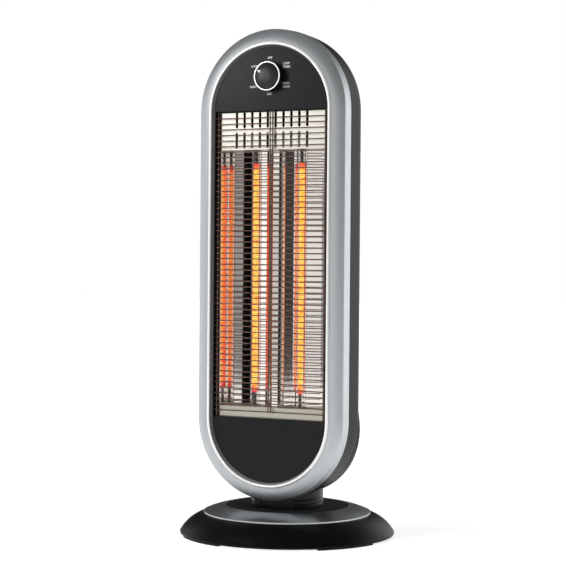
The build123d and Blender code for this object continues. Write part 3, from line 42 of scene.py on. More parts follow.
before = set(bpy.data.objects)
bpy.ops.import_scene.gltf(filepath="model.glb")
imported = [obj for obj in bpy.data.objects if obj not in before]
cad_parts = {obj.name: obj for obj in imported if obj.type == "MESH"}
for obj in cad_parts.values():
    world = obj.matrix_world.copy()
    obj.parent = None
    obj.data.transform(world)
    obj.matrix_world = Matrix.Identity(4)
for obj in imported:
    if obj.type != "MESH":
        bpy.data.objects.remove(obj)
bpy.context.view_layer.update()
MM = 0.001


# Helpers


# Noise mostly lies between these two values.
NOISE_LOW = 0.3
NOISE_HIGH = 0.7
# How finely a softened edge is worked out
BEVEL_SAMPLES = 4
# Edges that turn more than this stay sharp.
SMOOTH_ANGLE = math.radians(35)


def linear(code):
    """An sRGB hex colour as Blender's linear values."""
    channels = [int(code[k:k + 2], 16) / 255 for k in (1, 3, 5)]
    return [c / 12.92 if c <= 0.04045 else ((c + 0.055) / 1.055) ** 2.4 for c in channels] + [1.0]


def add(tree, kind, values=None, **settings):
    """Adds one node with its settings. A value sets an input, and a socket or a node is linked to it."""
    node = tree.nodes.new(kind)
    for key, value in settings.items():
        setattr(node, key, value)
    for key, value in (values or {}).items():
        if isinstance(value, bpy.types.Node):
            value = value.outputs[0]
        if isinstance(value, bpy.types.NodeSocket):
            tree.links.new(value, node.inputs[key])
        else:
            node.inputs[key].default_value = value
    return node


def bare_material(name):
    """A new material without nodes, and its tree."""
    material = bpy.data.materials.new(name)
    material.use_nodes = True
    material.node_tree.nodes.clear()
    return material, material.node_tree


def finish(name, colour, metallic=0.0, roughness=0.5, **sockets):
    """A new material with one Principled shader, its tree and that shader."""
    material, tree = bare_material(name)
    shader = add(tree, "ShaderNodeBsdfPrincipled", {
        "Base Color": linear(colour), "Metallic": metallic, "Roughness": roughness, **sockets})
    add(tree, "ShaderNodeOutputMaterial", {"Surface": shader})
    return material, tree, shader


def grain(tree, size_mm, detail=2.0, stretch=(1, 1, 1)):
    """Noise of a real size on the piece's own coordinates."""
    where = add(tree, "ShaderNodeTexCoord")
    turn = add(tree, "ShaderNodeMapping", {"Vector": where.outputs["Object"], "Scale": stretch})
    return add(tree, "ShaderNodeTexNoise", {
        "Vector": turn.outputs[0], "Scale": 1 / (size_mm * MM), "Detail": detail}).outputs[0]


def mottle(tree, shader, pattern, dark, light):
    """Colours a finish by noise, as a mix of two close colours."""
    ramp = add(tree, "ShaderNodeValToRGB", {"Fac": pattern})
    stops = ramp.color_ramp.elements
    for stop, spot, colour in zip(stops, (NOISE_LOW, NOISE_HIGH), (dark, light)):
        stop.position = spot
        stop.color = linear(colour)
    tree.links.new(ramp.outputs[0], shader.inputs["Base Color"])


def roughen(tree, shader, pattern, low, high):
    """Varies the roughness of a finish by noise."""
    level = add(tree, "ShaderNodeMapRange", {
        "Value": pattern, "From Min": NOISE_LOW, "From Max": NOISE_HIGH, "To Min": low, "To Max": high})
    tree.links.new(level.outputs[0], shader.inputs["Roughness"])


def relief(tree, shader, height, depth_mm, edge_mm=0.0):
    """Bump of a real depth, over edges that are softened by a real radius."""
    bump = add(tree, "ShaderNodeBump", {"Height": height, "Distance": depth_mm * MM, "Strength": 1.0})
    if edge_mm:
        soft = add(tree, "ShaderNodeBevel", {"Radius": edge_mm * MM}, samples=BEVEL_SAMPLES)
        tree.links.new(soft.outputs[0], bump.inputs["Normal"])
    tree.links.new(bump.outputs[0], shader.inputs["Normal"])


def dress(material, *names):
    """Gives CAD nodes a material."""
    for name in names:
        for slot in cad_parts[name].material_slots:
            slot.material = material


def link(name, mesh):
    """Links a mesh as an object, smooth except at sharp edges."""
    obj = bpy.data.objects.new(name, mesh)
    bpy.context.scene.collection.objects.link(obj)
    mesh.shade_smooth()
    mesh.set_sharp_from_angle(angle=SMOOTH_ANGLE)
    return obj


def place(obj, body, slot, *replaced):
    """Hands a finished piece to its body, in the place of CAD nodes. The slot is not used."""
    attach(obj, body)
    if replaced:
        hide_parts(*replaced)


# Growing pieces with Geometry Nodes


def new_tree(name, inputs):
    """A tree with named inputs, given as (label, socket type, default), and one geometry output."""
    tree = bpy.data.node_groups.new(name, "GeometryNodeTree")
    for label, kind, value in inputs:
        socket = tree.interface.new_socket(name=label, in_out="INPUT", socket_type=kind)
        socket.default_value = value
    tree.interface.new_socket(name="Geometry", in_out="OUTPUT", socket_type="NodeSocketGeometry")
    return tree, add(tree, "NodeGroupInput").outputs


def close_tree(tree, geometry, material):
    """Ends a tree in real geometry with its material."""
    real = add(tree, "GeometryNodeRealizeInstances", {"Geometry": geometry})
    painted = add(tree, "GeometryNodeSetMaterial", {"Geometry": real, "Material": material})
    smooth = add(tree, "GeometryNodeSetShadeSmooth", {"Geometry": painted})
    add(tree, "NodeGroupOutput", {"Geometry": smooth})


def grow(name, tree, **values):
    """Runs a tree with its inputs set by name, and keeps the result as a plain mesh object."""
    obj = bpy.data.objects.new(name, bpy.data.meshes.new(name))
    bpy.context.scene.collection.objects.link(obj)
    modifier = obj.modifiers.new("grow", "NODES")
    modifier.node_group = tree
    for item in tree.interface.items_tree:
        if item.in_out == "INPUT" and item.name in values:
            modifier[item.identifier] = values[item.name]
    depsgraph = bpy.context.evaluated_depsgraph_get()
    mesh = bpy.data.meshes.new_from_object(obj.evaluated_get(depsgraph), depsgraph=depsgraph)
    obj.modifiers.clear()
    obj.data = mesh
    return obj


# Finishes of the shell


def sprayed_silver(name, dark, light, roughness):
    """Metallic silver lacquer, sprayed on moulded ABS: a soft metal sheen with a fine, even flake."""
    material, tree, shader = finish(name, light, 1.0, roughness)
    flake = grain(tree, 0.9, 3.0)
    mottle(tree, shader, flake, dark, light)
    roughen(tree, shader, grain(tree, 14.0), roughness - 0.03, roughness + 0.03)
    # A real flake is near 0.03 mm, too fine to show, so it is drawn at 0.9 mm and very shallow.
    relief(tree, shader, flake, 0.004, 0.5)
    return material


# How metallic and how rough the plating is, and the rim's bevel, painted grey and duller as shade
PLATED_METAL = 0.4
PLATED_ROUGH = 0.2
BEVEL_SHADE_METAL = 0.2
BEVEL_SHADE_ROUGH = 0.45
# Waves of the moulding under the plating
WAVE_LENGTH_MM = 22.0
WAVE_DEPTH_MM = 0.02


def bright_plating():
    """Satin-chromed ABS: whiter and softer than a mirror, with the faint waves of a moulding under it."""
    material, tree, shader = finish("satin_chrome_plating", "#F8F8F6", PLATED_METAL, PLATED_ROUGH)
    roughen(tree, shader, grain(tree, 9.0), PLATED_ROUGH - 0.04, PLATED_ROUGH + 0.04)
    relief(tree, shader, grain(tree, WAVE_LENGTH_MM), WAVE_DEPTH_MM, 0.35)
    return material


def plated_rim(low, high, crest):
    """The same plating on the racetrack rim. Its bevel, inside the crest, is painted grey and duller as
    shade.
    """
    material, tree, shader = finish("plated_rim_with_shaded_grey_bevel", "#F8F8F6", PLATED_METAL, PLATED_ROUGH)
    where = add(tree, "ShaderNodeTexCoord")
    parts = add(tree, "ShaderNodeSeparateXYZ", {"Vector": where.outputs["Object"]}).outputs
    middle = (low.z + high.z) / 2
    straight = (high.z - low.z) / 2 - high.x
    # How far a point is from the racetrack's middle line
    off = add(tree, "ShaderNodeMath", {0: parts["Z"], 1: middle}, operation="SUBTRACT")
    away = add(tree, "ShaderNodeMath", {0: off}, operation="ABSOLUTE")
    past = add(tree, "ShaderNodeMath", {0: away, 1: straight}, operation="SUBTRACT")
    rise = add(tree, "ShaderNodeMath", {0: past, 1: 0.0}, operation="MAXIMUM")
    spoke = add(tree, "ShaderNodeCombineXYZ", {"X": parts["X"], "Y": rise})
    reach = add(tree, "ShaderNodeVectorMath", {0: spoke}, operation="LENGTH")
    edge = high.x - crest
    plated = add(tree, "ShaderNodeMapRange", {
        "Value": reach.outputs["Value"], "From Min": edge - 0.2 * MM, "From Max": edge + 0.2 * MM})
    for name, bevel_shade, bright in (
            ("Metallic", BEVEL_SHADE_METAL, PLATED_METAL), ("Roughness", BEVEL_SHADE_ROUGH, PLATED_ROUGH)):
        level = add(tree, "ShaderNodeMapRange", {"Value": plated, "To Min": bevel_shade, "To Max": bright})
        tree.links.new(level.outputs[0], shader.inputs[name])
    # Painted shade: the bevel is coloured grey, the crest near white.
    ramp = add(tree, "ShaderNodeValToRGB", {"Fac": plated})
    ramp.color_ramp.elements[0].color = linear("#7A7A7A")
    ramp.color_ramp.elements[1].color = linear("#FCFCFA")
    tree.links.new(ramp.outputs[0], shader.inputs["Base Color"])
    relief(tree, shader, grain(tree, WAVE_LENGTH_MM), WAVE_DEPTH_MM, 0.35)
    return material


def moulded_black(name, colour, sheen):
    """Black ABS from an etched mould: a satin skin of fine pebbles, duller where the etching is coarser."""
    material, tree, shader = finish(name, colour, 0.0, 0.36, **{"Specular IOR Level": sheen})
    pebble = grain(tree, 1.1, 3.0)
    roughen(tree, shader, pebble, 0.31, 0.42)
    relief(tree, shader, pebble, 0.012, 0.6)
    return material


def panel_black():
    """Black heat-resistant polycarbonate face: smoother than the housing, it greys under the softbox."""
    material, tree, shader = finish(
        "panel_black_polycarbonate", "#0C0C0D", 0.0, 0.34, **{"Specular IOR Level": 0.25})
    pebble = grain(tree, 1.3, 2.0)
    roughen(tree, shader, pebble, 0.30, 0.38)
    relief(tree, shader, pebble, 0.006, 0.4)
    return material


def spark_black():
    """Spark-eroded black ABS on the base's top: a coarse matt grit that kills reflections."""
    material, tree, shader = finish(
        "spark_textured_abs", "#101011", 0.0, 0.6, **{"Specular IOR Level": 0.28})
    grit = grain(tree, 0.8, 4.0)
    mottle(tree, shader, grit, "#0C0C0D", "#161617")
    relief(tree, shader, grit, 0.05, 0.3)
    return material


def knob_black():
    """Satin black ABS of the dial, drawn smooth in the mould."""
    material, tree, shader = finish("satin_black_abs", "#0E0E0F", 0.0, 0.32)
    roughen(tree, shader, grain(tree, 5.0), 0.29, 0.36)
    relief(tree, shader, grain(tree, 1.0), 0.003, 0.3)
    return material


def pad_print(name, colour, dark, light):
    """Pad-printing ink: flat, slightly uneven in cover."""
    material, tree, shader = finish(name, colour, 0.0, 0.5)
    mottle(tree, shader, grain(tree, 0.8), dark, light)
    return material


def foot_rubber():
    """Black moulded rubber: matt, with a faint bloom."""
    material, tree, shader = finish("moulded_rubber", "#161616", 0.0, 0.78)
    mottle(tree, shader, grain(tree, 3.0), "#131313", "#1C1C1B")
    relief(tree, shader, grain(tree, 0.9), 0.02, 0.3)
    return material


# Finishes of the heating unit


def guard_plating():
    """Nickel-plated drawn steel wire, browned by heat, with die lines that blur the reflection a little. Its
    red-brown is partly heat tint and partly a painted reflection of the glowing strips.
    """
    # Red-brown colour: partly heat tint, partly painted reflection of the glowing strips.
    material, tree, shader = finish("nickel_plated_wire", "#70584E", 1.0, 0.3)
    lines = grain(tree, 0.6, 2.0, (0.1, 1, 1))
    mottle(tree, shader, grain(tree, 7.0), "#644C44", "#7C645A")
    roughen(tree, shader, lines, 0.22, 0.36)
    relief(tree, shader, lines, 0.004)
    return material


def aluminised_sheet(name, dark, light):
    """Aluminised steel sheet: pale and softly reflecting, with rolling marks across it, dulled by heat."""
    material, tree, shader = finish(name, light, 0.55, 0.36)
    rolled = grain(tree, 1.6, 3.0, (0.12, 1, 1))
    mottle(tree, shader, rolled, dark, light)
    roughen(tree, shader, rolled, 0.31, 0.41)
    relief(tree, shader, rolled, 0.006)
    return material


def polished_steel():
    """Bright-rolled stainless sheet: a mirror streaked along its length, with shallow press waves."""
    material, tree, shader = finish("bright_rolled_stainless", "#ECE6E0", 1.0, 0.08)
    streak = grain(tree, 1.4, 3.0, (1, 1, 0.02))
    roughen(tree, shader, streak, 0.05, 0.12)
    relief(tree, shader, grain(tree, 26.0, 1.0, (1, 1, 0.35)), 0.03)
    return material


def fused_quartz():
    """Drawn quartz tube: clear, thin-walled, with faint draw lines along it."""
    material, tree, shader = finish("drawn_fused_quartz", "#FFFFFF", 0.0, 0.02, IOR=1.458)
    shader.inputs["Transmission Weight"].default_value = 1.0
    relief(tree, shader, grain(tree, 2.4, 1.0, (1, 1, 0.02)), 0.004)
    return material


# The way in plan of the strips' painted highlight, a yellower side: towards the front right
PAINTED_HIGHLIGHT_TOWARDS = (0.62, -0.78)
# Length over which a strip cools towards its end
COOL_END = 12 * MM
# From the hottest to the coolest
GLOW_COLOURS = (
    (0.0, "#FFDC5A"), (0.14, "#FFBA34"), (0.28, "#FA7E2C"),
    (0.45, "#EE4A34"), (0.68, "#C41C16"), (1.0, "#4A0604"))
GLOW_STRENGTH = 1.3


def glowing_carbon(low, high, axis_x, axis_y):
    """Woven carbon strip at working heat, dull red at its cool ends. A painted highlight makes it blotched
    yellow on the side towards the front right, and orange-red on its flanks and its back."""
    material, tree, shader = finish("woven_carbon_strip", "#1A0D08", 0.0, 0.8)
    where = add(tree, "ShaderNodeTexCoord").outputs["Object"]
    parts = add(tree, "ShaderNodeSeparateXYZ", {"Vector": where}).outputs
    middle = (low + high) / 2
    half = (high - low) / 2
    off = add(tree, "ShaderNodeMath", {0: parts["Z"], 1: middle}, operation="SUBTRACT")
    away = add(tree, "ShaderNodeMath", {0: off}, operation="ABSOLUTE")
    endwards = add(tree, "ShaderNodeMapRange", {
        "Value": away, "From Min": half - COOL_END, "From Max": half, "To Min": 0.0, "To Max": 0.5})
    # How far a point of the winding lies towards the side of the painted highlight
    lean = add(tree, "ShaderNodeVectorMath", {0: where, 1: (*PAINTED_HIGHLIGHT_TOWARDS, 0)}, operation="DOT_PRODUCT")
    centre = PAINTED_HIGHLIGHT_TOWARDS[0] * axis_x + PAINTED_HIGHLIGHT_TOWARDS[1] * axis_y
    # Painted highlight: the side towards the front right is painted hotter and yellower.
    painted_highlight = add(tree, "ShaderNodeMapRange", {
        "Value": lean.outputs["Value"], "From Min": centre - 1.0 * MM, "From Max": centre + 3.4 * MM,
        "To Min": 0.42, "To Max": 0.06})
    weave = add(tree, "ShaderNodeMapRange", {
        "Value": grain(tree, 5.0, 3.0, (1, 1, 0.7)), "From Min": NOISE_LOW, "From Max": NOISE_HIGH,
        "To Min": -0.16, "To Max": 0.16})
    cool = add(tree, "ShaderNodeMath", {0: weave, 1: endwards}, operation="ADD")
    cool = add(tree, "ShaderNodeMath", {0: cool, 1: painted_highlight}, operation="ADD")
    ramp = add(tree, "ShaderNodeValToRGB", {"Fac": cool})
    stops = ramp.color_ramp.elements
    for spot, _ in GLOW_COLOURS[1:-1]:
        stops.new(spot)
    for stop, (_, colour) in zip(stops, GLOW_COLOURS):
        stop.color = linear(colour)
    tree.links.new(ramp.outputs[0], shader.inputs["Emission Color"])
    shader.inputs["Emission Strength"].default_value = GLOW_STRENGTH
    return material


def graphite():
    """Graphite holder of a strip's end: dark, dry and dulled by heat."""
    material, tree, shader = finish("graphite_holder", "#2A2422", 0.3, 0.55)
    roughen(tree, shader, grain(tree, 1.0), 0.48, 0.65)
    return material


def steatite():
    """Fired steatite caps: off-white, dry and faintly speckled."""
    material, tree, shader = finish("fired_steatite", "#DDD8CB", 0.0, 0.7)
    mottle(tree, shader, grain(tree, 0.7), "#D2CCBE", "#E6E1D6")
    relief(tree, shader, grain(tree, 0.7), 0.01, 0.4)
    return material


# Finishes of the inner pieces


def zinc_plate():
    """Zinc-plated pressed steel: blue-grey with a clouded bright passivation."""
    material, tree, shader = finish("zinc_plated_steel", "#B5B8BC", 1.0, 0.35)
    cloud = grain(tree, 4.0, 4.0)
    mottle(tree, shader, cloud, "#A6A9AE", "#C2C4C6")
    roughen(tree, shader, cloud, 0.27, 0.42)
    relief(tree, shader, grain(tree, 0.8), 0.004, 0.2)
    return material


def sand_cast():
    """Sand-cast iron: dark grey and pitted."""
    material, tree, shader = finish("sand_cast_iron", "#3A3A3B", 0.9, 0.68)
    sand = grain(tree, 1.2, 4.0)
    mottle(tree, shader, sand, "#303031", "#464646")
    relief(tree, shader, sand, 0.12, 0.6)
    return material


def natural_acetal():
    """Natural acetal: milky white and waxy."""
    material, tree, shader = finish("natural_acetal", "#E6E4DC", 0.0, 0.36)
    mottle(tree, shader, grain(tree, 6.0), "#E0DED5", "#ECEAE3")
    relief(tree, shader, grain(tree, 1.5), 0.004, 0.2)
    return material


def screw_steel():
    """Zinc-plated screw steel: brighter than the pressed sheet, with turned rings."""
    material, tree, shader = finish("zinc_plated_screw", "#C4C5C6", 1.0, 0.28)
    roughen(tree, shader, grain(tree, 0.7), 0.22, 0.36)
    relief(tree, shader, grain(tree, 0.7), 0.005, 0.15)
    return material


def glass_sleeve():
    """Glass-braid sleeving on the leads: off-white with a fine crossed braid."""
    material, tree, shader = finish("glass_braid_sleeve", "#D8D2C2", 0.0, 0.75)
    where = add(tree, "ShaderNodeTexCoord")
    braid = add(tree, "ShaderNodeTexVoronoi", {"Vector": where.outputs["Object"], "Scale": 1 / (0.7 * MM)})
    mottle(tree, shader, braid.outputs[0], "#BDB6A4", "#E2DCCD")
    relief(tree, shader, braid.outputs[0], 0.06)
    return material


# Sizes and colours that a user would change


class HeaterSizes(bpy.types.PropertyGroup):
    rungs: bpy.props.IntProperty(
        name="Rungs", description="Horizontal wires of the guard", default=53, min=2)
    rung_low: bpy.props.FloatProperty(
        name="Lowest rung", description="Height of the lowest horizontal wire",
        default=0.1862, unit="LENGTH")
    rung_pitch: bpy.props.FloatProperty(
        name="Rung pitch", description="Height between two horizontal wires",
        default=0.008345, unit="LENGTH")
    wire: bpy.props.FloatProperty(
        name="Wire", description="Thickness of a horizontal wire", default=0.0017, unit="LENGTH")
    side_wire: bpy.props.FloatProperty(
        name="Side wire", description="Thickness of the upright wires at the sides",
        default=0.0022, unit="LENGTH")
    side_wire_x: bpy.props.FloatProperty(
        name="Side wire place", description="Distance of a side wire from the middle",
        default=0.089, unit="LENGTH")
    hairpin_wire: bpy.props.FloatProperty(
        name="Hairpin wire", description="Thickness of the hairpin in the middle",
        default=0.0018, unit="LENGTH")
    hairpin_x: bpy.props.FloatProperty(
        name="Hairpin place", description="Distance of a leg of the hairpin from the middle",
        default=0.00215, unit="LENGTH")
    coil_pitch: bpy.props.FloatProperty(
        name="Strip pitch", description="Height of one turn of the carbon strip",
        default=0.0031, unit="LENGTH")
    coil_radius: bpy.props.FloatProperty(
        name="Strip radius", description="Radius that the carbon strip is wound to",
        default=0.0042, unit="LENGTH")
    strip_width: bpy.props.FloatProperty(
        name="Strip width", description="Width of the carbon strip", default=0.0022, unit="LENGTH")
    word_height: bpy.props.FloatProperty(
        name="Word height", description="Height of the words round the dial", default=0.0044, unit="LENGTH")


class HeaterStudio(bpy.types.PropertyGroup):
    floor: bpy.props.FloatVectorProperty(
        name="Floor", description="Colour of the floor and the background", size=4,
        subtype="COLOR", default=linear("#FFFFFF"), min=0, max=1)
    key: bpy.props.FloatProperty(
        name="Key light", description="Strength of the broad soft light from the left", default=2.8)
    rim: bpy.props.FloatProperty(
        name="Rim light", description="Strength of the soft light from the right rear", default=1.0)
    sky: bpy.props.FloatProperty(
        name="Room light", description="Strength of the even light from the room", default=0.55)
    floor_shade: bpy.props.FloatProperty(
        name="Floor shadow", description="Share of the floor's white that a shadow can take away",
        default=0.45, min=0, max=1, subtype="FACTOR")
    ceiling: bpy.props.FloatProperty(
        name="Ceiling", description="How bright reflections show the ceiling", default=0.14, min=0)
    floor_fill: bpy.props.FloatProperty(
        name="Floor fill", description="White that the floor shows by itself, under any shadow",
        default=0.69, min=0)


# Pieces of the shell and the guard


# Width of the rim's rounded crest, from its outer edge to its bevel
RIM_CREST = 4.5 * MM
WIRE_SIDES = 14
RUNG_POINTS = 25
BOW_POINTS = 17
# How fast the bend of a rung changes along it, and from one rung to the next, per metre
BEND_CHANGES = (9.0, 9.0, 90.0)


class HEATER_OT_shell(bpy.types.Operator):
    """Finishes the mouldings of the head, the neck and the base"""

    bl_idname = "heater.shell"
    bl_label = "Shell"

    def execute(self, context):
        dress(sprayed_silver("sprayed_silver_lacquer_bezel", "#C1C5C7", "#CFD3D5", 0.5), "front_bezel")
        dress(sprayed_silver("sprayed_silver_lacquer_base", "#B4B8BA", "#C2C6C8", 0.32), "base_trim_ring")
        dress(plated_rim(*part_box("bezel_trim_ring"), RIM_CREST), "bezel_trim_ring")
        dress(bright_plating(), "knob_ring")
        dress(moulded_black("moulded_black_abs_neck", "#0C0C0D", 0.28),
              "neck_front", "neck_rear", "tip_switch", "rotary_switch")
        dress(moulded_black("moulded_black_abs_housing", "#161617", 0.07), "rear_housing")
        dress(moulded_black("moulded_black_abs_base", "#080808", 0.10), "base_cover")
        dress(panel_black(), "front_panel")
        dress(spark_black(), "base_inset_disc")
        dress(foot_rubber(), "foot_pads", "cord_gland")
        return {"FINISHED"}


def wire_along(tree, curve, radius):
    """A wire of a given thickness on a curve, with closed ends."""
    ring = add(tree, "GeometryNodeCurvePrimitiveCircle", {"Resolution": WIRE_SIDES, "Radius": radius})
    return add(tree, "GeometryNodeCurveToMesh", {"Curve": curve, "Profile Curve": ring, "Fill Caps": True})


def guard_tree(material):
    """Rungs spot-welded across two side wires and a hairpin. Each rung is bent a little, by chance."""
    tree, given = new_tree("wire_guard", [
        ("Rungs", "NodeSocketInt", 53), ("Lowest", "NodeSocketFloat", 0.1862),
        ("Pitch", "NodeSocketFloat", 0.008345), ("Half length", "NodeSocketFloat", 0.0917),
        ("Wire", "NodeSocketFloat", 0.0017), ("Front", "NodeSocketFloat", -0.0619),
        ("Bottom", "NodeSocketFloat", 0.1782), ("Top", "NodeSocketFloat", 0.6295),
        ("Side place", "NodeSocketFloat", 0.089), ("Side wire", "NodeSocketFloat", 0.0022),
        ("Pin place", "NodeSocketFloat", 0.00215), ("Pin wire", "NodeSocketFloat", 0.0018),
        ("Weld", "NodeSocketFloat", 0.00025), ("Bend", "NodeSocketFloat", 0.0003),
        ("Seed", "NodeSocketInt", 7)])

    half = {name: add(tree, "ShaderNodeMath", {0: given[name], 1: 0.5}, operation="MULTIPLY")
            for name in ("Wire", "Side wire", "Pin wire")}

    def upright(x, y, low, thickness):
        line = add(tree, "GeometryNodeCurvePrimitiveLine", {
            "Start": add(tree, "ShaderNodeCombineXYZ", {"X": x, "Y": y, "Z": low}),
            "End": add(tree, "ShaderNodeCombineXYZ", {"X": x, "Y": y, "Z": given["Top"]})})
        return wire_along(tree, line, thickness)

    left = add(tree, "ShaderNodeMath", {0: given["Half length"], 1: -1.0}, operation="MULTIPLY")
    rung = add(tree, "GeometryNodeCurvePrimitiveLine", {
        "Start": add(tree, "ShaderNodeCombineXYZ", {"X": left}),
        "End": add(tree, "ShaderNodeCombineXYZ", {"X": given["Half length"]})})
    rung = add(tree, "GeometryNodeResampleCurve", {"Curve": rung, "Count": RUNG_POINTS})
    stack = add(tree, "GeometryNodeMeshLine", {
        "Count": given["Rungs"],
        "Start Location": add(tree, "ShaderNodeCombineXYZ", {"Y": given["Front"], "Z": given["Lowest"]}),
        "Offset": add(tree, "ShaderNodeCombineXYZ", {"Z": given["Pitch"]})})
    rungs = add(tree, "GeometryNodeInstanceOnPoints", {"Points": stack, "Instance": rung})
    rungs = add(tree, "GeometryNodeRealizeInstances", {"Geometry": rungs})

    # Each rung's bend, up or down
    seed = add(tree, "ShaderNodeCombineXYZ", {"X": given["Seed"]})
    spot = add(tree, "ShaderNodeVectorMath", {0: add(tree, "GeometryNodeInputPosition"), 1: seed},
               operation="ADD")
    spot = add(tree, "ShaderNodeVectorMath", {0: spot, 1: BEND_CHANGES}, operation="MULTIPLY")
    wander = add(tree, "ShaderNodeTexNoise", {"Vector": spot, "Scale": 1.0, "Detail": 0.0})
    lift = add(tree, "ShaderNodeMapRange", {
        "Value": wander, "From Min": 0.2, "From Max": 0.8,
        "To Min": add(tree, "ShaderNodeMath", {0: given["Bend"], 1: -1.0}, operation="MULTIPLY"),
        "To Max": given["Bend"]})
    rungs = add(tree, "GeometryNodeSetPosition", {
        "Geometry": rungs, "Offset": add(tree, "ShaderNodeCombineXYZ", {"Z": lift})})
    pieces = [wire_along(tree, rungs, half["Wire"])]

    # The uprights are welded to the rungs' backs.
    back = add(tree, "ShaderNodeMath", {0: given["Front"], 1: half["Wire"]}, operation="ADD")
    weld = add(tree, "ShaderNodeMath", {0: back, 1: given["Weld"]}, operation="SUBTRACT")
    side_y = add(tree, "ShaderNodeMath", {0: weld, 1: half["Side wire"]}, operation="ADD")
    pin_y = add(tree, "ShaderNodeMath", {0: weld, 1: half["Pin wire"]}, operation="ADD")
    pin_low = add(tree, "ShaderNodeMath", {0: given["Lowest"], 1: given["Pin place"]}, operation="ADD")
    for sign in (-1.0, 1.0):
        side_x = add(tree, "ShaderNodeMath", {0: given["Side place"], 1: sign}, operation="MULTIPLY")
        pin_x = add(tree, "ShaderNodeMath", {0: given["Pin place"], 1: sign}, operation="MULTIPLY")
        pieces.append(upright(side_x, side_y, given["Bottom"], half["Side wire"]))
        pieces.append(upright(pin_x, pin_y, pin_low, half["Pin wire"]))
    bow = add(tree, "GeometryNodeCurveArc", {
        "Resolution": BOW_POINTS, "Radius": given["Pin place"], "Start Angle": math.pi,
        "Sweep Angle": math.pi})
    bow = add(tree, "GeometryNodeTransform", {
        "Geometry": bow, "Translation": add(tree, "ShaderNodeCombineXYZ", {"Y": pin_y, "Z": pin_low}),
        "Rotation": (math.pi / 2, 0, 0)})
    pieces.append(wire_along(tree, bow, half["Pin wire"]))
    joined = add(tree, "GeometryNodeJoinGeometry")
    for piece in pieces:
        tree.links.new(piece.outputs[0], joined.inputs[0])
    close_tree(tree, joined, material)
    return tree


class HEATER_OT_guard(bpy.types.Operator):
    """Builds the wire guard from its sizes"""

    bl_idname = "heater.guard"
    bl_label = "Wire guard"

    def execute(self, context):
        sizes = context.scene.heater_sizes
        low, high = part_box("wire_guard")
        guard = grow("welded_wire_guard", guard_tree(guard_plating()), **{
            "Rungs": sizes.rungs, "Lowest": sizes.rung_low, "Pitch": sizes.rung_pitch,
            "Half length": high.x, "Wire": sizes.wire, "Front": low.y + sizes.wire / 2,
            "Bottom": low.z, "Top": high.z,
            "Side place": sizes.side_wire_x, "Side wire": sizes.side_wire, "Pin place": sizes.hairpin_x,
            "Pin wire": sizes.hairpin_wire})
        place(guard, "head", "guard_wire", "wire_guard")
        return {"FINISHED"}


# Pieces of the heating unit


# Heights between which the strips glow
GLOW_LOW = 0.2135
GLOW_HIGH = 0.5545
TURN_POINTS = 18
STRIP_THICKNESS = 0.4 * MM
HOLDER_RADIUS = 2.4 * MM
HOLDER_SIDES = 20


class HEATER_OT_sheets(bpy.types.Operator):
    """Finishes the deflectors, the reflector and the tubes"""

    bl_idname = "heater.sheets"
    bl_label = "Reflector and tubes"

    def execute(self, context):
        dress(aluminised_sheet("aluminised_steel_sheet_upper", "#F4F0E3", "#FDFAF0"), "upper_deflector")
        # The lower deflector is the same sheet as the upper one, painted darker as shade.
        dress(aluminised_sheet("aluminised_steel_sheet_lower_painted_shade", "#C6C2B3", "#D4D0C2"), "lower_deflector")
        dress(polished_steel(), "reflector")
        dress(fused_quartz(), "quartz_tube_left", "quartz_tube_right")
        dress(steatite(), "ceramic_caps", "thermal_cutout")
        return {"FINISHED"}


def strip_tree(material):
    """A flat strip wound into a helix, standing on a given point."""
    tree, given = new_tree("wound_strip", [
        ("Turns", "NodeSocketFloat", 100.0), ("Radius", "NodeSocketFloat", 0.003),
        ("Height", "NodeSocketFloat", 0.34), ("Width", "NodeSocketFloat", 0.002),
        ("Thickness", "NodeSocketFloat", 0.0004), ("Centre", "NodeSocketVector", (0, 0, 0))])
    spiral = add(tree, "GeometryNodeCurveSpiral", {
        "Resolution": TURN_POINTS, "Rotations": given["Turns"], "Start Radius": given["Radius"],
        "End Radius": given["Radius"], "Height": given["Height"]})
    section = add(tree, "GeometryNodeCurvePrimitiveQuadrilateral", {
        "Width": given["Thickness"], "Height": given["Width"]})
    upright = add(tree, "GeometryNodeSetCurveNormal", {"Curve": spiral})
    upright.mode = "Z_UP"
    strip = add(tree, "GeometryNodeCurveToMesh", {
        "Curve": upright, "Profile Curve": section, "Fill Caps": True})
    moved = add(tree, "GeometryNodeTransform", {"Geometry": strip, "Translation": given["Centre"]})
    close_tree(tree, moved, material)
    return tree


def rod(name, centre, low, high, radius, material):
    """An upright rod with bevelled ends."""
    bm = bmesh.new()
    rings = []
    bevel = radius * 0.5
    for z, reach in ((low, radius - bevel), (low + bevel, radius), (high - bevel, radius),
                     (high, radius - bevel)):
        turns = [2 * math.pi * k / HOLDER_SIDES for k in range(HOLDER_SIDES)]
        rings.append([bm.verts.new((centre.x + reach * math.cos(turn), centre.y + reach * math.sin(turn), z))
                      for turn in turns])
    for lower, upper in zip(rings, rings[1:]):
        for k in range(HOLDER_SIDES):
            after = (k + 1) % HOLDER_SIDES
            bm.faces.new((lower[k], lower[after], upper[after], upper[k]))
    bm.faces.new(list(reversed(rings[0])))
    bm.faces.new(rings[-1])
    mesh = bpy.data.meshes.new(name)
    bm.to_mesh(mesh)
    bm.free()
    mesh.materials.append(material)
    return link(name, mesh)


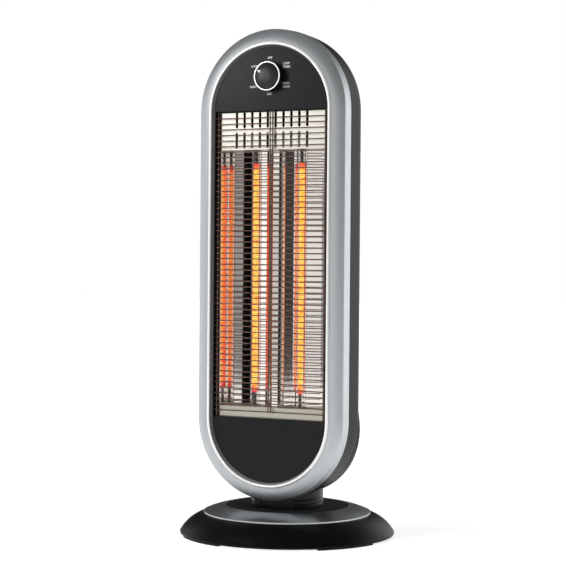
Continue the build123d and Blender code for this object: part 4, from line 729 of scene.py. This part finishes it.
class HEATER_OT_filaments(bpy.types.Operator):
    """Winds the two carbon strips inside the tubes, between their holders"""

    bl_idname = "heater.filaments"
    bl_label = "Carbon filaments"

    def execute(self, context):
        sizes = context.scene.heater_sizes
        rise = GLOW_HIGH - GLOW_LOW
        holder = graphite()
        for side in ("left", "right"):
            low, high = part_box("quartz_tube_" + side)
            centre = (low + high) / 2
            carbon = glowing_carbon(GLOW_LOW, GLOW_HIGH, centre.x, centre.y)
            coil = grow(
                "carbon_strip_" + side, strip_tree(carbon), Turns=rise / sizes.coil_pitch,
                Radius=sizes.coil_radius, Height=rise, Width=sizes.strip_width, Thickness=STRIP_THICKNESS,
                Centre=(centre.x, centre.y, GLOW_LOW))
            place(coil, "head", "carbon", "carbon_filament_" + side)
            for end, start, stop in (("low", low.z, GLOW_LOW), ("high", GLOW_HIGH, high.z)):
                name = "strip_holder_" + end + "_" + side
                place(rod(name, centre, start, stop, HOLDER_RADIUS, holder), "head", "carbon")
        return {"FINISHED"}


# Pieces of the dial


# Words round the dial. Each has its place to the right of the dial's middle and above it, in metres.
DIAL_WORDS = (
    ("top", ["OFF"], -0.0013, 0.0278),
    ("bottom", ["OFF"], -0.0020, -0.0256),
    ("upper_right", ["LOW", "TURN"], 0.0262, 0.0160),
    ("lower_right", ["HIGH", "TURN"], 0.0256, -0.0132),
    ("upper_left", ["LOW"], -0.0272, 0.0162),
    ("lower_left", ["HIGH"], -0.0292, -0.0141),
)
LINE_SPACING = 1.15
# How far the ink spreads past the letters' outlines
INK_SPREAD = 0.16 * MM
# Half the ink's thickness, and how far its middle stands off the panel
INK_HALF = 0.02 * MM
INK_STAND = 0.03 * MM


class HEATER_OT_dial(bpy.types.Operator):
    """Finishes the dial and prints the words round it"""

    bl_idname = "heater.dial"
    bl_label = "Dial"

    def execute(self, context):
        dress(knob_black(), "control_knob")
        dress(pad_print("white_pad_print", "#F2F2F0", "#E6E6E4", "#F8F8F6"), "knob_pointer")
        dress(natural_acetal(), "switch_shaft")
        ink = pad_print("grey_pad_print", "#D8D8D6", "#CACAC8", "#E2E2E0")
        low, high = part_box("control_knob")
        centre = (low + high) / 2
        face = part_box("front_panel")[0].y
        height = context.scene.heater_sizes.word_height
        for name, lines, dx, dz in DIAL_WORDS:
            for row, text in enumerate(lines):
                drop = (row - (len(lines) - 1) / 2) * height * LINE_SPACING
                word = printed_word("dial_word_" + name + "_" + str(row), text, height, ink,
                                    (centre.x + dx, face, centre.z + dz - drop))
                place(word, "head", "pointer_white")
        return {"FINISHED"}


def printed_word(name, text, height, material, where):
    """A word as a thin layer of ink on the panel, facing the front."""
    curve = bpy.data.curves.new(name, "FONT")
    curve.body = text
    curve.size = height
    curve.align_x = "CENTER"
    curve.align_y = "CENTER"
    curve.offset = INK_SPREAD
    curve.extrude = INK_HALF
    curve.resolution_u = 3
    obj = bpy.data.objects.new(name, curve)
    bpy.context.scene.collection.objects.link(obj)
    depsgraph = bpy.context.evaluated_depsgraph_get()
    mesh = bpy.data.meshes.new_from_object(obj.evaluated_get(depsgraph), depsgraph=depsgraph)
    bpy.data.objects.remove(obj)
    upright = Matrix.Rotation(math.pi / 2, 4, "X")
    mesh.transform(Matrix.Translation(Vector(where) + Vector((0, -INK_STAND, 0))) @ upright)
    mesh.materials.clear()
    mesh.materials.append(material)
    return link(name, mesh)


class HEATER_OT_inner_works(bpy.types.Operator):
    """Finishes what the housings hide"""

    bl_idname = "heater.inner_works"
    bl_label = "Inner works"

    def execute(self, context):
        dress(zinc_plate(), "bottom_plate", "lower_race", "upper_race", "oscillation_motor",
              "turntable_plate", "pivot_post", "post_nut", "post_clamps", "heat_shield", "tube_brackets")
        dress(sand_cast(), "ballast_ring")
        dress(natural_acetal(), "pivot_bush", "ball_cage", "hub_gear", "motor_pinion", "tip_plunger",
              "terminal_block")
        dress(screw_steel(), "base_screws", "bearing_balls", "motor_screws", "motor_shaft", "tip_spring",
              "neck_screws", "trim_screws", "housing_screws", "shield_screws", "switch_nut")
        dress(glass_sleeve(), "lead_wires")
        return {"FINISHED"}


# Studio


# Fitted to the outlines in the photograph: metres, angles, and pixels of its frame
CAMERA_DISTANCE = 2.55911
CAMERA_HEIGHT = 0.41361
CAMERA_AZIMUTH = math.radians(27.18)
CAMERA_PAN = math.radians(-0.21)
CAMERA_ROLL = math.radians(0.47)
CAMERA_FOCAL_PIXELS = 1703.41
PICTURE_PIXELS = 566
CAMERA_RISE_PIXELS = -25.25
# Width of the camera's sensor, and the nearest that it sees, in metres
SENSOR_MM = 36.0
CLIP_START = 0.05
# Azimuth from the front, height above the floor and breadth of a lamp, in degrees
KEY_LIGHT = (-48, 32, 45)
RIM_LIGHT = (115, 22, 30)
LAMP_DISTANCE = 3
FLOOR_HALF = 12.0


def set_camera():
    """The camera that was fitted to the outline of the head and of the base."""
    data = bpy.data.cameras.new("camera")
    data.sensor_width = SENSOR_MM
    data.lens = CAMERA_FOCAL_PIXELS / PICTURE_PIXELS * SENSOR_MM
    data.shift_y = CAMERA_RISE_PIXELS / PICTURE_PIXELS
    data.clip_start = CLIP_START
    obj = bpy.data.objects.new("camera", data)
    bpy.context.scene.collection.objects.link(obj)
    pan = CAMERA_PAN - CAMERA_AZIMUTH
    forward = Vector((math.sin(pan), math.cos(pan), 0))
    right = Vector((math.cos(pan), -math.sin(pan), 0))
    up = Vector((0, 0, 1))
    level_right = math.cos(CAMERA_ROLL) * right + math.sin(CAMERA_ROLL) * up
    level_up = math.cos(CAMERA_ROLL) * up - math.sin(CAMERA_ROLL) * right
    turn = Matrix((level_right, level_up, -forward)).transposed()
    spot = Vector((CAMERA_DISTANCE * math.sin(CAMERA_AZIMUTH),
                   -CAMERA_DISTANCE * math.cos(CAMERA_AZIMUTH), CAMERA_HEIGHT))
    obj.matrix_world = Matrix.Translation(spot) @ turn.to_4x4()
    bpy.context.scene.camera = obj


def soft_light(name, azimuth, height, breadth, strength):
    """A broad soft light that falls evenly from one side. Reflections show the cards in its place."""
    data = bpy.data.lights.new(name, "SUN")
    data.angle = math.radians(breadth)
    data.energy = strength
    obj = bpy.data.objects.new(name, data)
    bpy.context.scene.collection.objects.link(obj)
    turn, rise = math.radians(azimuth), math.radians(height)
    source = Vector((math.sin(turn) * math.cos(rise), -math.cos(turn) * math.cos(rise), math.sin(rise)))
    obj.location = source * LAMP_DISTANCE
    obj.rotation_euler = source.to_track_quat("Z", "Y").to_euler()
    obj.visible_glossy = False


def rays_that_show_white(tree):
    """1 for camera, glossy and transmission rays."""
    path = add(tree, "ShaderNodeLightPath").outputs
    seen = add(tree, "ShaderNodeMath", {0: path["Is Camera Ray"], 1: path["Is Glossy Ray"]},
               operation="MAXIMUM")
    return add(tree, "ShaderNodeMath", {0: seen, 1: path["Is Transmission Ray"]}, operation="MAXIMUM")


def set_world(strength, colour):
    """White behind everything and in every reflection, and a plain even light on the object."""
    world = bpy.data.worlds.new("studio")
    bpy.context.scene.world = world
    world.use_nodes = True
    tree = world.node_tree
    tree.nodes.clear()
    seen = rays_that_show_white(tree)
    plain = add(tree, "ShaderNodeBackground", {"Color": linear("#FFFFFF"), "Strength": strength})
    shown = add(tree, "ShaderNodeBackground", {"Color": colour, "Strength": 1.0})
    both = add(tree, "ShaderNodeMixShader", {0: seen, 1: plain, 2: shown})
    add(tree, "ShaderNodeOutputWorld", {"Surface": both})


def floor_paint(colour, shade, fill):
    """Matt white studio floor: its lit share keeps the shadow, and the rest is white where it is seen."""
    material, tree = bare_material("studio_floor")
    lit = [shade * c for c in colour[:3]] + [1.0]
    matt = add(tree, "ShaderNodeBsdfDiffuse", {"Color": lit, "Roughness": 0.5})
    rest = add(tree, "ShaderNodeMath", {0: rays_that_show_white(tree), 1: fill}, operation="MULTIPLY")
    own = add(tree, "ShaderNodeEmission", {"Color": colour, "Strength": rest})
    both = add(tree, "ShaderNodeAddShader", {0: matt, 1: own})
    add(tree, "ShaderNodeOutputMaterial", {"Surface": both})
    return material


def card_paint():
    """A studio card that is as bright as its own attribute says."""
    material, tree = bare_material("studio_card")
    level = add(tree, "ShaderNodeAttribute", attribute_name="level")
    glow = add(tree, "ShaderNodeEmission", {"Color": linear("#FFFFFF"), "Strength": level.outputs["Fac"]})
    add(tree, "ShaderNodeOutputMaterial", {"Surface": glow})
    return material


def card(name, rows, material):
    """A studio card as a grid of (point, level). Only reflections show it, and it takes no light away."""
    points = [spot for row in rows for spot, _ in row]
    width = len(rows[0])
    faces = [(a * width + b, a * width + b + 1, (a + 1) * width + b + 1, (a + 1) * width + b)
             for a in range(len(rows) - 1) for b in range(width - 1)]
    mesh = bpy.data.meshes.new(name)
    mesh.from_pydata(points, [], faces)
    level = mesh.attributes.new("level", "FLOAT", "POINT")
    level.data.foreach_set("value", [value for row in rows for _, value in row])
    mesh.materials.append(material)
    obj = bpy.data.objects.new(name, mesh)
    bpy.context.scene.collection.objects.link(obj)
    for ray in ("camera", "diffuse", "transmission", "shadow", "volume_scatter"):
        setattr(obj, "visible_" + ray, False)


# What stands round the object, as reflections show it: degrees of azimuth from the front, and brightness.
SURROUND = (
    (-180, 1.0), (-177, 0.8), (-168, 0.06), (-124, 0.04), (-112, 1.15), (-62, 1.2), (-55, 0.9), (-51, 0.12),
    (-46, 0.10), (-42, 0.40), (-35, 0.52), (-30, 0.75), (-25, 0.60), (-18, 0.35), (-12, 0.35), (-8, 0.90),
    (-1, 0.90), (1, 1.35), (10, 1.35), (13, 0.30), (22, 0.20), (34, 0.15), (38, 0.05), (53, 0.05),
    (58, 0.20), (64, 0.32), (104, 0.36), (124, 1.65), (172, 1.65), (180, 1.0))
# How much of that is left at a height in metres, the rest being as dark as the ceiling.
FADE = ((0.0, 1.0), (0.6, 1.0), (0.9, 0.95), (1.2, 0.5), (1.5, 0.25), (1.9, 0.1), (2.3, 0.0))
# How many times as high it reaches at an azimuth: the white wall behind is a tall one.
REACH = ((-180, 1.7), (-172, 1.3), (-160, 1.0), (120, 1.0), (135, 1.7), (180, 1.7))
# A softbox in that ring, over the camera's left shoulder, lightens the upper panel: azimuths and heights.
SOFTBOX_TURN = (-44, -20)
SOFTBOX_RISE = (0.85, 1.45)
SOFTBOX_LEVEL = 1.5
ROOM_RADIUS = 3.0
CARD_HEIGHTS = (0.0, 0.3, 0.6, 0.9, 1.2, 1.5, 1.9, 2.3)
CARD_STEP = 2
# The ceiling's brightness over the front and over the rear, as multiples of its own, and its half width.
FRONT_CEILING = 2.6
REAR_CEILING = 0.4
CEILING_HALF = 1.1 * ROOM_RADIUS
# A small card close by on the left, which the upper panel and the dial shade off from: ends and heights.
NEAR_CARD = ((-0.29, -0.587), (-0.467, -0.495))
NEAR_RISE = (0.70, 0.86)
NEAR_LEVEL = 6.5


def along(steps, spot):
    """A value read between the steps of a list."""
    for (start, low), (stop, high) in zip(steps, steps[1:]):
        if start <= spot <= stop:
            return low + (high - low) * (spot - start) / (stop - start)
    return steps[-1][1]


def brightness(azimuth, height, ceiling):
    """The surround's brightness at an azimuth and a height."""
    left = along(FADE, height / along(REACH, azimuth))
    level = ceiling + (along(SURROUND, azimuth) - ceiling) * left
    if SOFTBOX_TURN[0] <= azimuth <= SOFTBOX_TURN[1] and SOFTBOX_RISE[0] < height < SOFTBOX_RISE[1]:
        level = SOFTBOX_LEVEL
    return level


def set_cards(ceiling):
    """A ring of cards round the object, a dark one under the ceiling and a bright one close by."""
    paint = card_paint()
    ring = []
    for height in CARD_HEIGHTS:
        row = []
        for azimuth in range(-180, 180 + CARD_STEP, CARD_STEP):
            turn = math.radians(azimuth)
            spot = (ROOM_RADIUS * math.sin(turn), -ROOM_RADIUS * math.cos(turn), height)
            row.append((spot, brightness(azimuth, height, ceiling)))
        ring.append(row)
    card("ring_card", ring, paint)
    ends = ((CEILING_HALF, ceiling * REAR_CEILING), (-CEILING_HALF, ceiling * FRONT_CEILING))
    top = [[((x, y, CARD_HEIGHTS[-1]), level) for x in (-CEILING_HALF, CEILING_HALF)]
           for y, level in ends]
    card("ceiling_card", top, paint)
    near = [[((x, y, z), NEAR_LEVEL) for x, y in NEAR_CARD] for z in NEAR_RISE]
    card("near_card", near, paint)


def set_floor(studio):
    """A pale floor that keeps the object's shadow."""
    mesh = bpy.data.meshes.new("floor")
    corners = [(x * FLOOR_HALF, y * FLOOR_HALF, 0) for x, y in ((-1, -1), (1, -1), (1, 1), (-1, 1))]
    mesh.from_pydata(corners, [], [(0, 1, 2, 3)])
    mesh.materials.append(floor_paint(studio.floor, studio.floor_shade, studio.floor_fill))
    floor = bpy.data.objects.new("floor", mesh)
    bpy.context.scene.collection.objects.link(floor)


class HEATER_OT_studio(bpy.types.Operator):
    """Sets up the floor, the lights, the cards and the camera"""

    bl_idname = "heater.studio"
    bl_label = "Studio"

    def execute(self, context):
        studio = context.scene.heater_studio
        set_camera()
        set_world(studio.sky, studio.floor)
        set_floor(studio)
        set_cards(studio.ceiling)
        soft_light("key_light", *KEY_LIGHT, studio.key)
        soft_light("rim_light", *RIM_LIGHT, studio.rim)
        context.scene.view_settings.view_transform = "Standard"
        return {"FINISHED"}


# Panel and running


STEPS = (HEATER_OT_studio, HEATER_OT_shell, HEATER_OT_guard, HEATER_OT_sheets, HEATER_OT_filaments,
         HEATER_OT_dial, HEATER_OT_inner_works)


class HEATER_PT_panel(bpy.types.Panel):
    bl_label = "Carbon heater"
    bl_idname = "HEATER_PT_panel"
    bl_space_type = "VIEW_3D"
    bl_region_type = "UI"
    bl_category = "Heater"

    def draw(self, context):
        for group in (context.scene.heater_sizes, context.scene.heater_studio):
            box = self.layout.box()
            for name in group.__annotations__:
                box.prop(group, name)
        for step in STEPS:
            self.layout.operator(step.bl_idname)


CLASSES = (HeaterSizes, HeaterStudio) + STEPS + (HEATER_PT_panel,)


def register():
    for cls in CLASSES:
        bpy.utils.register_class(cls)
    bpy.types.Scene.heater_sizes = bpy.props.PointerProperty(type=HeaterSizes)
    bpy.types.Scene.heater_studio = bpy.props.PointerProperty(type=HeaterStudio)


def unregister():
    del bpy.types.Scene.heater_studio
    del bpy.types.Scene.heater_sizes
    for cls in reversed(CLASSES):
        bpy.utils.unregister_class(cls)


def run(step):
    """Calls an operator by its name, and stops the script if it doesn't finish."""
    group, name = step.bl_idname.split(".")
    if getattr(getattr(bpy.ops, group), name)() != {"FINISHED"}:
        raise RuntimeError(step.bl_idname + " did not finish")


def main():
    """Builds everything in order."""
    register()
    for step in STEPS:
        run(step)


if __name__ == "__main__":
    main()
